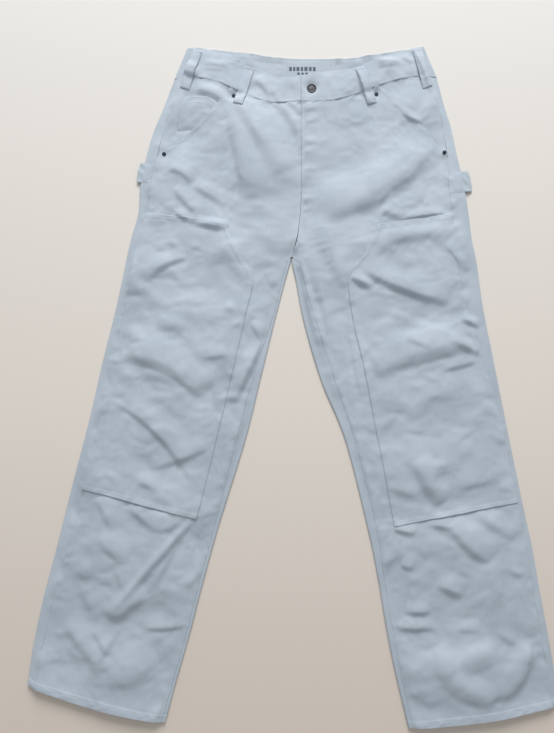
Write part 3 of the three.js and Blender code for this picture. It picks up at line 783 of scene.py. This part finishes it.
def front_columns(cut):
    """x of the front panel's columns, and how many of them lie under the knee patch."""
    outer = between(cut.start, cut.patch_edge, NEAR_SEAM, NEAR_SEAM, PATCH_STEPS)
    inner = between(cut.patch_edge, cut.end, NEAR_SEAM, NEAR_SEAM, INNER_STEPS)
    return np.concatenate([outer, inner[:, 1:]], axis=1), outer.shape[1]


def front_grid(side, cut):
    x, patch_columns = front_columns(cut)
    y = row_y(side, cut, x)
    return points(x, y, top_height(side, cut, x, y, front=True)), patch_columns


def patch_relief(side, cut, x):
    """Turned-in edges of a knee patch, with two rows of stitching and puckers along them."""
    top = cut.down - side.down_values[PATCH_TOP]
    bottom = side.down_values[PATCH_BOTTOM] - cut.down
    inner = np.abs(x - cut.patch_edge)
    relief = 0
    edges = ((top, x, 0.75), (bottom, x, 0.35), (inner, cut.down, 0.4))
    for k, (distance, along, height) in enumerate(edges):
        relief = relief + felled(distance) + puckers(along, distance, 61 + 3 * k + side.sign, height=height)
    from_middle = np.abs(x - mix(cut.start, cut.patch_edge, 0.5))
    loose = 1.1 * np.exp(-bottom / 9) * near(from_middle, np.abs(cut.patch_edge - cut.start) / 2)
    return relief + loose


def patch_grid(side, cut, front, patch_columns):
    """The knee patch, one cloth above the front panel."""
    station = cut.station[:, 0]
    inside = (station >= PATCH_TOP - SLACK) & (station <= PATCH_BOTTOM + SLACK)
    grid = moved(front, side.sign, SIT)[inside][:, :patch_columns].copy()
    relief = patch_relief(side, sections_at(side, station[inside]), front[inside][:, :patch_columns, 0])
    grid[..., 2] += np.maximum(relief, -0.5)
    return grid


def edge_points(x, out, y, height, angles=EDGE_ANGLES[None, :]):
    """Round edge of a flat leg, from the upper layer's height down to the underside."""
    radius = height / 2
    return points(x - out * radius * (1 - np.cos(angles)), y, radius * (1 + np.sin(angles)))


def upper_strip(side, cut, x):
    """Points of the back panel where it lies on the upper side."""
    y = row_y(side, cut, x)
    return points(x, y, top_height(side, cut, x, y))


def back_grid(side, cut):
    """The back panel: a strip on the upper side, the round edge, the underside and the inseam."""
    out = side.sign
    start = cut.side + out * SEAM_GAP / 2
    rim_x = cut.outer_x - out * EDGE_RADIUS
    strip = upper_strip(side, cut, mix(start, rim_x, np.linspace(0, 1, SIDE_COLUMNS + 1)[None, :-1]))
    strip[..., 2] += puckers(cut.down, np.abs(strip[..., 0] - start), 71 + out, height=0.3)
    edge_y = row_y(side, cut, cut.outer_x)
    edge = edge_points(cut.outer_x, out, edge_y, upper_strip(side, cut, rim_x)[..., 2])
    inner_y = cut.inner_y + BACK_RISE * np.clip(1 - cut.station / CROTCH, 0, 1)
    above = cut.station < CROTCH
    seat_x = cut.inner_x + out * (GAP / 2 + SEAT_STRIP + SEAT_STEP)
    inner_rim = np.where(above, seat_x, cut.inner_x + out * EDGE_RADIUS)
    share = np.linspace(0, 1, UNDERSIDE_COLUMNS + 1)[None, 1:-1]
    under = points(mix(rim_x, inner_rim, share), mix(cut.outer_y, inner_y, share), 0)
    inseam = inseam_edge(side, cut)
    seat = GAP / 2 + np.linspace(SEAT_STRIP, 0, inseam.shape[1])[None, :]
    ending = np.where(above[..., None], points(cut.inner_x + out * seat, inner_y, 0), inseam)
    return np.concatenate([strip, edge, under, ending], axis=1)


def inseam_edge(side, cut):
    """The back panel from the underside round the inner edge of the leg up to the inseam."""
    rim_x = cut.inner_x + side.sign * EDGE_RADIUS
    edge = edge_points(cut.inner_x, -side.sign, cut.inner_y, upper_strip(side, cut, rim_x)[..., 2])[:, ::-1]
    seam_x = cut.seam - side.sign * SEAM_GAP / 2
    strip = upper_strip(side, cut, mix(rim_x, seam_x, np.linspace(0, 1, INSEAM_COLUMNS + 1)[None, 1:]))
    return np.concatenate([edge, strip], axis=1)


def coin_hollow(x, y):
    """Depth by which the right facing lies lower under the coin pocket, so that the two come out level."""
    depth = np.interp(x, *np.transpose(COIN_TOP)) - y
    from_edge = x - COIN_TOP[0][0] + COIN_LEAN * depth
    within = smooth((depth + 12) / 10) * near(depth - COIN_DEPTH, 2.5) * smooth(from_edge / 2.5 + 1)
    return COIN_HOLLOW * within


def facing_grid(side, cut, front):
    """The pocket facing, level with the back panel at the side seam and tucked under the front's edge."""
    rows = cut.station[:, 0] <= MOUTH_END + SLACK
    part = sections_at(side, cut.station[rows, 0])
    start = part.side + part.inward * SEAM_GAP / 2
    width = np.maximum(np.abs(front[rows][:, :1, 0] - start), 3)
    share = np.linspace(0, 1, FACING_COLUMNS)[None, :]
    x = start + part.inward * width * share
    y = row_y(side, part, x)
    under = np.clip(part.station - MOUTH_END + 1, 0, 1)
    z = top_height(side, part, x, y) - UNDERLAP * np.maximum(share, under)
    z = z - 0.1 * near(np.abs(x - start), FELL.rise) + waist_relief(part, x, 81 + side.sign, 0.9)
    if side is RIGHT:
        z = z - coin_hollow(x, y)
    tuck = front[rows][:, 5:6].copy()
    tuck[..., 2] = np.minimum(tuck[..., 2] - UNDERLAP - 0.8, z[:, -1:])
    return np.concatenate([points(x, y, z), tuck], axis=1)


# Waistband: its front halves lie on its back, which runs from side to side in one piece
BAND_HEIGHT = FLAT_HEIGHT + BAND_CLOTH - CLOTH
BAND_LOWEST = 2 * BAND_CLOTH + 1.2
BAND_WIDTH = 46
BAND_EDGE = np.array([0, 0.02, 0.045, 0.08, 0.13])
BAND_SHARES = np.concatenate([BAND_EDGE, np.linspace(0.13, 0.87, 14)[1:-1], 1 - BAND_EDGE[::-1]])
BACK_BAND_SEAMS = (-112, 108)
LABEL = SimpleNamespace(x=9, y=62, width=74, height=32, thickness=0.6, lift=0.25)
INK_STANDS = 0.12
INK_THICKNESS = 0.08


def band_relief(x):
    """Rounded upper and lower edge, a row of stitching by each, and puckers."""
    relief = 0.7 * value_noise(x / 34 + 5, BAND_SHARES * 1.3 + 4, 91) * np.sin(np.pi * BAND_SHARES)
    for k, (share, fall) in enumerate(((BAND_SHARES, 0.6), (1 - BAND_SHARES, 0.9))):
        distance = share * BAND_WIDTH
        relief = relief - fall * near(distance, 1.8) - 0.35 * bump(distance, 4, 1.3)
        relief = relief + puckers(x, distance, 93 + k, height=0.8, reach=10)
    return relief


def band_columns(bottom, top, z):
    """Points from the band's lower edge to its upper one, a row for each pair of ends."""
    x = mix(bottom[:, 0:1], top[:, 0:1], BAND_SHARES)
    y = mix(bottom[:, 1:2] + SEAM_GAP, top[:, 1:2], BAND_SHARES)
    return points(x, y, z + band_relief(bottom[:, 0:1]))


def waist_line(side, front, facing):
    """The upper row of the facing and the front panel, from the side seam to the centre."""
    line = np.concatenate([facing[0, :FACING_COLUMNS, :2], front[0, :, :2]])
    line = line[np.argsort(line[:, 0] * side.sign)[::-1]]
    return line[np.concatenate([[True], np.abs(np.diff(line[:, 0])) > 0.25])]


def band_front_grid(side, front, facing):
    cut = sections_at(side, [WAIST])
    outer_x, inner_x = cut.outer_x[0, 0], cut.inner_x[0, 0]
    bottom = waist_line(side, front, facing)
    x = bottom[:, 0:1]
    share = np.clip((x - outer_x) / (inner_x - outer_x), 0, 1)
    top = along_spline(side.front_top, share[:, 0])
    top[:, 0:1] += side.sign * GAP / 2 * smooth(share)
    centre = np.abs(x - CENTRE_X)
    overlap = (0.6 if side is LEFT else -0.1) * near(centre - 30, 12) - 0.8 * near(centre, 1.4)
    grid = band_columns(bottom, top, BAND_HEIGHT + overlap)
    margin = smooth((np.abs(x - outer_x) - EDGE_RADIUS) / FOLD_MARGIN)
    loft = LOFT * np.sin(np.pi * share / 2) ** 0.6
    grid[..., 2] += laid_relief(grid[..., 0], grid[..., 1], loft, margin)
    grid[..., 2] = np.maximum(grid[..., 2], BAND_LOWEST)
    return grid.transpose(1, 0, 2)


def band_back_half(side):
    """Half of the back band: a strip on the upper side, the round side edge and the underside."""
    cut = sections_at(side, [WAIST])
    outer_x, outer_y, inner_x = cut.outer_x[0, 0], cut.outer_y[0, 0], cut.inner_x[0, 0]
    corner_x, corner_y = side.back_top[0]
    radius = side.sign * BAND_HEIGHT / 2
    gap = side.sign * GAP / 2
    seam_x = cut.side + gap
    seam_bottom = (seam_x[0, 0], row_y(side, cut, seam_x)[0, 0])
    seam_top = along_spline(side.front_top, (cut.side[0] - outer_x) / (inner_x - outer_x))[0] + (gap, 0)
    share = np.linspace(0, 1, INSEAM_COLUMNS + 1)[:-1, None]
    bottom = mix(np.array(seam_bottom), np.array((outer_x - radius, outer_y)), share)
    top = mix(seam_top, np.array((corner_x - radius, corner_y)), share)
    strip = band_columns(bottom, top, BAND_HEIGHT)
    edge_x = mix(outer_x, corner_x, BAND_SHARES)
    edge_y = mix(outer_y + GAP, corner_y, BAND_SHARES)
    edge = edge_points(edge_x, side.sign, edge_y, BAND_HEIGHT, EDGE_ANGLES[:, None])
    edge[..., 2] += band_relief(outer_x) * np.maximum(np.sin(EDGE_ANGLES[:, None]), 0)
    bottom_x = mix(outer_x - radius, CENTRE_X, np.linspace(0, 1, BACK_BAND_COLUMNS + 1)[1:])
    share = (bottom_x - outer_x) / (CENTRE_X - outer_x)
    bottom_y = mix(outer_y, cut.inner_y[0, 0] + BACK_RISE, share)
    top = along_spline(side.back_top, share)
    under = points(mix(bottom_x[:, None], top[:, 0:1], BAND_SHARES),
                   mix(bottom_y[:, None] + GAP, top[:, 1:2], BAND_SHARES), 0)
    return np.concatenate([strip, edge, under])


def build_leg(side):
    """The pieces of one leg, and their grids and sections for what lies on them."""
    cut = sections_at(side, row_stations(side))
    front, patch_columns = front_grid(side, cut)
    facing = facing_grid(side, cut, front)
    band = band_front_grid(side, front, facing)
    name = side.name
    build_cloth(f"front_{name}", front, side.sign)
    build_cloth(f"back_{name}", back_grid(side, cut), -side.sign)
    build_cloth(f"pocket_facing_{name}", facing, side.sign)
    build_cloth(f"knee_patch_{name}", patch_grid(side, cut, front, patch_columns), side.sign)
    build_cloth(f"waistband_front_{name}", band, -side.sign, BAND_CLOTH)
    return SimpleNamespace(cut=cut, front=front, band=band)


def build_back_band():
    """The back band, whose inner face shows over the dipping front and is uneven there."""
    right, left = band_back_half(RIGHT), band_back_half(LEFT)
    grid = np.concatenate([right, left[:-1][::-1]]).transpose(1, 0, 2)
    x = grid[..., 0]
    share = BAND_SHARES[:, None]
    relief = 1.2 * value_noise(x / 26 + 2, share * 2 + 8, 97) + 1.1 * value_noise(x / 12, share * 4 + 2, 98)
    relief = relief + 0.5 * value_noise(x / 6, share * 8 + 2, 99)
    relief = relief * (1 - 0.8 * smooth((LABEL.width / 2 + 12 - np.abs(x - LABEL.x)) / 10))
    for seam in BACK_BAND_SEAMS:
        relief = relief - 0.8 * bump(x, seam, 1.6) + 0.5 * bump(x, seam + 4, 3)
    relief = relief - 0.5 * bump((1 - share) * BAND_WIDTH, 3, 1.4)
    lying = smooth((185 - np.abs(x)) / 25)
    build_cloth("waistband_back", grid, -1, BAND_CLOTH, DUCK_INNER, relief=relief * lying)


# What lies under a place: rays are cast down from this height
CAST_FROM = 100


class Probe:
    """Heights of the named pieces, or of all the cloth built so far, in garment millimetres."""

    def __init__(self, *names):
        places, polygons = [], []
        for name in names or [name for name in BUILT if name.startswith("cloth")]:
            vertices, groups = BUILT[name]
            for group in groups:
                polygons += (group + len(places)).tolist()
            places += vertices.tolist()
        self.tree = BVHTree.FromPolygons(places, polygons)

    def height(self, x, y):
        hit = self.tree.ray_cast(Vector((x, y, CAST_FROM)), Vector((0, 0, -1)))[0]
        return hit.z if hit else 0.0

    def heights(self, x, y):
        flat = [self.height(float(a), float(b)) for a, b in zip(np.ravel(x), np.ravel(y))]
        return np.array(flat).reshape(np.shape(x))


# Coin pocket on the right facing
COIN_ROWS = np.concatenate([[0, 0.7, 1.6, 2.8, 4.5, 7, 10, 12, 13, 14, 16], np.linspace(19, COIN_DEPTH, 13)])


def coin_pocket_grid(leg, probe):
    """Rows down from the open upper edge. Its front side goes under the edge of the front panel."""
    edge = leg.front[leg.cut.station[:, 0] <= MOUTH_END][:, 0]
    top = np.array(COIN_TOP, float)
    down = COIN_ROWS[:, None]
    share = np.linspace(0, 1, 26)[None, :]
    top_x = mix(top[0, 0], top[-1, 0], share)
    y = np.interp(top_x, top[:, 0], top[:, 1]) - down
    mouth_x = np.interp(-y, -edge[:, 1], edge[:, 0]) + 1
    x = np.minimum(top_x - COIN_LEAN * down, mouth_x - 3 * (1 - share))
    gape = 1.6 * np.sin(np.pi * share) * np.exp(-down / 9)
    relief = felled(down) + 0.3 * bump(down, COIN_HEM - 2, 3) + gape
    relief = relief + puckers(x, down, 101, height=0.8) + 0.4 * value_noise(x / 11, y / 13, 102)
    under = smooth((x - mouth_x + 9) / 6)
    melt = COIN_MELT * smooth((down - COIN_DEPTH + 6) / 6) + 0.3 * near(share, 0.025)
    return points(x, y, probe.heights(x, y) + SIT + np.maximum(relief, -0.4) * (1 - under) - melt)


def build_coin_pocket(leg):
    grid = coin_pocket_grid(leg, Probe("cloth_facing_right"))
    build_cloth("coin_pocket", grid, -1)
    return grid


# Belt loops: straps of doubled cloth, tacked at both ends and standing off the band between
LOOP_WIDTH = 17
LOOP_THICKNESS = 1.8
LOOP_ARCH = 0.7
LOOP_DRAPE = 2.6
LOOP_HALF = np.array([0.25, 0.5, 0.66, 0.76, 0.88, 0.96, 1])
LOOP_LANES = np.concatenate([-LOOP_HALF[::-1], [0], LOOP_HALF])
LOOP_ENDS = np.array([0, 0.8, 1.8, 3])
BELT_LOOPS = {
    "front_right": ((-94, 63), (-114, -7)),
    "front_left": ((97, 60), (117.5, -3)),
    "side_right": ((-185, 94), (-206, 23)),
    "side_left": ((197, 97), (214, 27)),
}


def belt_loop_grid(top, bottom, probe, seed):
    """Rows down a loop, which follows the cloth under each lane but doesn't sag far below its highest one."""
    top, bottom = np.array(top, float), np.array(bottom, float)
    length = math.dist(top, bottom)
    along = np.concatenate([LOOP_ENDS, np.linspace(4.5, length - 4.5, 30), length - LOOP_ENDS[::-1]])[:, None]
    share = along / length
    lanes = LOOP_LANES[None, :]
    half_run = (bottom - top) / length * LOOP_WIDTH / 2
    narrowed = lanes * (1 - 0.05 * np.sin(np.pi * share))
    x = mix(top[0], bottom[0], share) - half_run[1] * narrowed
    y = mix(top[1], bottom[1], share) + half_run[0] * narrowed
    padded = np.pad(probe.heights(x, y), ((1, 1), (0, 0)), mode="edge")
    under = np.maximum(np.maximum(padded[:-2], padded[1:-1]), padded[2:])
    under = np.maximum(under, under.max(axis=1, keepdims=True) - LOOP_DRAPE)
    from_end = np.minimum(along, length - along)
    arch = LOOP_ARCH * np.sin(np.pi * share) ** 0.8 - 0.7 * near(from_end, 1.8) - 0.5 * bump(from_end, 4, 2.2)
    edges = -0.6 * smooth((np.abs(lanes) - 0.86) / 0.14) - 0.25 * bump(np.abs(lanes), 0.76, 0.12)
    ripple = 0.35 * value_noise(along / 7 + seed, lanes * 1.2 + 5, 110 + seed)
    return points(x, y, under + arch + GAP + LOOP_THICKNESS + edges + ripple)


def build_belt_loops(probe):
    grids = []
    for seed, (name, (top, bottom)) in enumerate(BELT_LOOPS.items()):
        grids.append(belt_loop_grid(top, bottom, probe, seed))
        build_cloth(f"belt_loop_{name}", grids[-1], -1, LOOP_THICKNESS)
    return grids


# Tool loops: folded tapes out of the side seams
TAB_THICKNESS = 1.1
TAB_FLUSH = 0.12
TAB_ROWS = np.concatenate([[0, 0.03, 0.08, 0.14], np.linspace(0.2, 0.8, 11), [0.86, 0.92, 0.97, 1]])
TAB_LANES = np.concatenate([np.linspace(0, 0.9, 19), [0.94, 0.97, 1]])

# First and last station of each, and how far it stands out beyond the leg
TOOL_LOOPS = ((RIGHT, 3.25, 3.9, 8), (LEFT, 3.5, 4.2, 13))


def tool_loop_grid(side, first, last, reach, probe):
    """Rows down a tape, flush with the leg where it leaves the side seam and free beyond the leg's edge."""
    rows = TAB_ROWS[:, None]
    cut = sections_at(side, mix(first, last, TAB_ROWS))
    lanes = TAB_LANES[None, :]
    out = side.sign
    tip = cut.outer_x + out * (reach - 1.5 * (1 - np.sin(np.pi * rows)))
    x = mix(cut.side + out, tip, lanes)
    y = row_y(side, cut, x)
    beyond = np.maximum((x - cut.outer_x) * out, -12)
    free = smooth(beyond / 3 + 1)
    rims = np.minimum(rows, 1 - rows)
    rolled = -0.5 * near(rims, 0.06) - 0.5 * smooth((lanes - 0.9) / 0.1)
    flush = (TAB_THICKNESS + GAP / 2 - TAB_FLUSH) * (np.minimum(smooth(rims / 0.14), smooth(lanes / 0.3)) - 1)
    ripple = 0.9 * value_noise((x + y) / 9, (x - y) / 26, 120 + out) * free
    droop = 0.012 * np.maximum(beyond, 0) ** 2
    base = np.maximum(probe.heights(x, y), FLAT_HEIGHT - PRESSED) + GAP / 2 + TAB_THICKNESS
    return points(x, y, base - droop + mix(flush, rolled, free) - 0.3 * bump(rims, 0.14, 0.05) + ripple)


def build_tool_loops(probe):
    for side, first, last, reach in TOOL_LOOPS:
        grid = tool_loop_grid(side, first, last, reach, probe)
        build_cloth(f"tool_loop_{side.name}", grid, -side.sign, TAB_THICKNESS)


# Inner label: a plain tape with plain printed bars, each an x and y from its middle, a width and a height
PLATE_LANES = np.concatenate([[-1, -0.985, -0.95], np.linspace(-0.9, 0.9, 21), [0.95, 0.985, 1]])
LABEL_BARS = ((-32, 2.5, 5, 8), (-25.5, 2.5, 4, 8), (-19, 2.5, 5.5, 8), (-12, 2.5, 4.5, 8), (-5, 2.5, 6, 8),
              (2.5, 2.5, 5, 8), (9.5, 2.5, 5, 8), (-18, -6, 5, 4), (-11, -6, 4, 4), (-4, -6, 5, 4))


def plate_grid(x, y, width, height, z, rounding, lanes=PLATE_LANES):
    """A thin plate whose rim is a little lower, and whose face is a little uneven."""
    px = x + lanes[None, :] * width / 2
    py = y - lanes[:, None] * height / 2
    edge = np.maximum(np.abs(lanes)[None, :], np.abs(lanes)[:, None])
    uneven = 0.15 * value_noise(px / 9, py / 9, 131)
    return points(px, py, z - rounding * smooth((edge - 0.95) / 0.05) + uneven)


def build_label():
    top = BAND_CLOTH + GAP + LABEL.thickness + LABEL.lift
    grid = plate_grid(LABEL.x, LABEL.y, LABEL.width, LABEL.height, top, 0.2)
    build_cloth("label", grid, -1, LABEL.thickness, DUCK_INNER)
    vertices, faces = [], []
    for x, y, width, height in LABEL_BARS:
        bar = plate_grid(LABEL.x + x, LABEL.y + y, width, height, top + INK_STANDS, 0.05, PLATE_LANES[::3])
        faces.append(wall_faces(*bar.shape[:2], -1) + len(vertices))
        vertices += [*bar.reshape(-1, 3), *moved(bar, -1, -INK_THICKNESS).reshape(-1, 3)]
    marks = make_mesh("label_marks", np.array(vertices), np.concatenate(faces), INK)


# Metal
def turned(name, profile, x, y, z, radius, sides, material):
    """A closed round body from a profile whose first and last points are on its axis."""
    angles = np.linspace(0, 2 * np.pi, sides, endpoint=False)
    rings = [points(x + share * radius * np.cos(angles), y + share * radius * np.sin(angles), z + height)
             for share, height in profile[1:-1]]
    vertices = np.concatenate([[[x, y, z + profile[0][1]]], *rings, [[x, y, z + profile[-1][1]]]])
    index = 1 + np.arange(len(rings) * sides).reshape(len(rings), sides)
    following = np.roll(index, -1, axis=1)
    quads = np.stack([index[:-1], following[:-1], following[1:], index[1:]], axis=-1).reshape(-1, 4)
    low = np.stack([np.zeros(sides, int), following[0], index[0]], axis=1)
    high = np.stack([np.full(sides, len(vertices) - 1), index[-1], following[-1]], axis=1)
    return make_mesh(name, vertices, [quads, low, high], material, sharp_from=40)


def build_round(node, x, y, size, profile, material):
    """A round metal piece in place of a node, a little over the node's lowest point."""
    low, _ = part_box(node)
    piece = turned(f"metal_{node}", profile, x, y, low.z / MM + size.lift, size.diameter / 2, size.sides,
                   material)
    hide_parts(node)


def build_metal():
    build_round("button", BUTTON.x, BUTTON.y, BUTTON, BUTTON_PROFILE, STEEL)
    for name, (x, y) in RIVETS.items():
        build_round(f"rivet_{name}", x, y, RIVET, RIVET_PROFILE, DARK_STEEL)


# Sewing: raised stitches along lines on the cloth
BAND_STITCH_ROWS = (1, 20)
STITCH = SimpleNamespace(first=0.4, pitch=3.3, length=2.4, width=0.8, height=0.42, lift=0.04, sunk=0.1)
LEAST_UNDER_STITCH = 1
STEEPEST_STITCH = 1.5
STITCH_STATIONS = np.array([0.18, 0.5, 0.82])[None, :, None]
STITCH_SWELL = np.array([0.85, 1.0, 0.85])[None, :, None]
STITCH_RING = np.array([(1, 0), (0, 1), (-1, 0), (0, -0.6)])


def stitch_places(line):
    """Start and end of each stitch along a line of x and y points."""
    lengths = line_lengths(line)
    starts = np.arange(STITCH.first, lengths[-1] - STITCH.length, STITCH.pitch)
    return places_at(starts, lengths, line), places_at(starts + STITCH.length, lengths, line)


def stitch_faces():
    """Quads and triangles of one stitch: three rings of four corners, and a tip at each end."""
    quads, triangles = [], []
    for k in range(4):
        n = (k + 1) % 4
        quads += [(k, 4 + k, 4 + n, n), (4 + k, 8 + k, 8 + n, 4 + n)]
        triangles += [(k, n, 12), (8 + n, 8 + k, 13)]
    return np.array(quads), np.array(triangles)


def build_stitches(name, lines, probe):
    """Stitches along lines, as one piece, left out where there is no even cloth under both ends."""
    stitches = [stitch_places(np.array(line)) for line in lines]
    starts, ends = (np.concatenate(part) for part in zip(*stitches))
    low, high = probe.heights(*starts.T), probe.heights(*ends.T)
    seated = (np.minimum(low, high) > LEAST_UNDER_STITCH) & (np.abs(low - high) < STEEPEST_STITCH)
    starts, ends, low, high = starts[seated], ends[seated], low[seated], high[seated]
    run = (ends - starts)[:, None, None]
    across = STITCH_RING[:, 0] * STITCH_SWELL * STITCH.width / 2 / np.linalg.norm(run, axis=-1)
    x = starts[:, 0, None, None] + run[..., 0] * STITCH_STATIONS - run[..., 1] * across
    y = starts[:, 1, None, None] + run[..., 1] * STITCH_STATIONS + run[..., 0] * across
    z = mix(low[:, None, None], high[:, None, None], STITCH_STATIONS) + STITCH.lift
    rings = points(x, y, z + STITCH_RING[:, 1] * STITCH_SWELL * STITCH.height)
    tips = np.stack([points(*starts.T, low - STITCH.sunk), points(*ends.T, high - STITCH.sunk)], axis=1)
    vertices = np.concatenate([rings.reshape(len(starts), 12, 3), tips], axis=1)
    first = vertices.shape[1] * np.arange(len(starts))[:, None, None]
    faces = [(first + shape).reshape(-1, shape.shape[1]) for shape in stitch_faces()]
    piece = make_mesh(name, vertices.reshape(-1, 3), faces, THREAD, sharp_from=80)


def line_of(side, cut, x):
    """The line that has x at each section of a leg."""
    return np.concatenate([x, row_y(side, cut, x)], axis=1)


def leg_lines(side, leg):
    """Lines of sewing on one leg: felled seams, pocket mouth, knee patch, hem and waistband."""
    cut, lines = leg.cut, []
    whole = cut.station[:, 0]
    below = sections_at(side, whole[whole >= CROTCH + 0.15])
    patch = sections_at(side, whole[(whole >= PATCH_TOP) & (whole <= PATCH_BOTTOM)])
    for row in STITCH_ROWS:
        lines.append(line_of(side, cut, cut.start + cut.inward * row))
        lines.append(line_of(side, below, below.end - below.inward * row))
        lines.append(line_of(side, patch, patch.patch_edge - patch.inward * row))
    levels = [(PATCH_TOP, row) for row in STITCH_ROWS] + [(PATCH_BOTTOM, -row) for row in STITCH_ROWS]
    for station, distance in levels + [(HEM, -HEM_STITCHES)]:
        down = side.down_values[station] + distance
        one = sections_at(side, [np.interp(down, side.down_values, side.down_stations)])
        end = one.end if station == HEM else one.patch_edge - one.inward * STITCH_ROWS[0]
        x = np.linspace(one.start[0, 0], end[0, 0], 60)[None, :]
        lines.append(points(x, row_y(side, one, x), 0)[0, :, :2])
    return lines + [leg.band[row, :, :2] for row in BAND_STITCH_ROWS]


FLY_STITCHES = [
    [(36, -4), (36.5, -60), (37, -120), (34, -150), (24, -172), (1, -184)],
    [(29, -4), (29.5, -60), (30, -118), (27, -144), (18, -163), (-2, -173)],
]
FLY_TACKS = [[(-4, -184), (3, -184)], [(-4, -193), (3, -193)], [(-3, -70), (-3, -78)]]
SIDE_TACKS = [[(-317, -371), (-291, -371)], [(-317, -377), (-291, -377)]]


def loop_lines(grid):
    lanes = [grid[3:-3, lane, :2] for lane in (3, -4)]
    return lanes + [grid[row, 1:-1, :2] for row in (3, 4, -5, -4)]


def coin_lines(grid):
    return [grid[row, 1:-3, :2] for row in (3, 8)] + [grid[2:, 2, :2]]


def build_sewing(legs, loops, coin, probe):
    for side in SIDES:
        build_stitches(f"stitches_leg_{side.name}", leg_lines(side, legs[side.name]), probe)
    details = [spline(corners)[0] for corners in FLY_STITCHES] + FLY_TACKS + SIDE_TACKS
    for grid in loops:
        details += loop_lines(grid)
    build_stitches("stitches_details", details + coin_lines(coin), probe)


# Set: floor, camera and light, in metres
FLOOR_SIZE = 6
CAMERA = SimpleNamespace(place=(-0.0247, -0.1031, 0.9055), tilt=6.3, lens=27.11, sensor=36, nearest=0.01)
WINDOW = SimpleNamespace(place=(0.1, 2.7, 1.75), size=1.8, power=90)
ROOM_COLOUR = (0.95, 0.97, 1, 1)
ROOM_LIGHT = 0.405


def build_floor():
    bpy.ops.mesh.primitive_plane_add(size=FLOOR_SIZE)
    floor = bpy.context.object
    floor.name = "floor"
    floor.data.materials.append(floor_material())


def build_camera():
    data = bpy.data.cameras.new("camera")
    data.lens = CAMERA.lens
    data.sensor_width = CAMERA.sensor
    data.clip_start = CAMERA.nearest
    camera = bpy.data.objects.new("camera", data)
    camera.location = CAMERA.place
    camera.rotation_euler = (math.radians(CAMERA.tilt), 0, 0)
    bpy.context.scene.collection.objects.link(camera)
    bpy.context.scene.camera = camera


def build_window():
    """A large soft light beyond the waist, which looks at the middle of the floor."""
    data = bpy.data.lights.new("window", "AREA")
    data.shape = "DISK"
    data.size = WINDOW.size
    data.energy = WINDOW.power
    light = bpy.data.objects.new("window", data)
    light.location = WINDOW.place
    light.rotation_euler = (-Vector(WINDOW.place)).to_track_quat("-Z", "Y").to_euler()
    bpy.context.scene.collection.objects.link(light)


def build_room():
    """Even light from all sides, and colours shown as they are."""
    world = bpy.data.worlds.new("room")
    world.use_nodes = True
    background = world.node_tree.nodes["Background"]
    background.inputs["Color"].default_value = ROOM_COLOUR
    background.inputs["Strength"].default_value = ROOM_LIGHT
    bpy.context.scene.world = world
    bpy.context.scene.view_settings.view_transform = "Standard"


# The garment from the legs up, each part on the cloth built before it, and the set round it
legs = {side.name: build_leg(side) for side in SIDES}
build_back_band()
coin = build_coin_pocket(legs["right"])
build_label()
loops = build_belt_loops(Probe())
build_tool_loops(Probe("cloth_back_right", "cloth_back_left"))
build_metal()
build_sewing(legs, loops, coin, Probe())
build_floor()
build_camera()
build_window()
build_room()
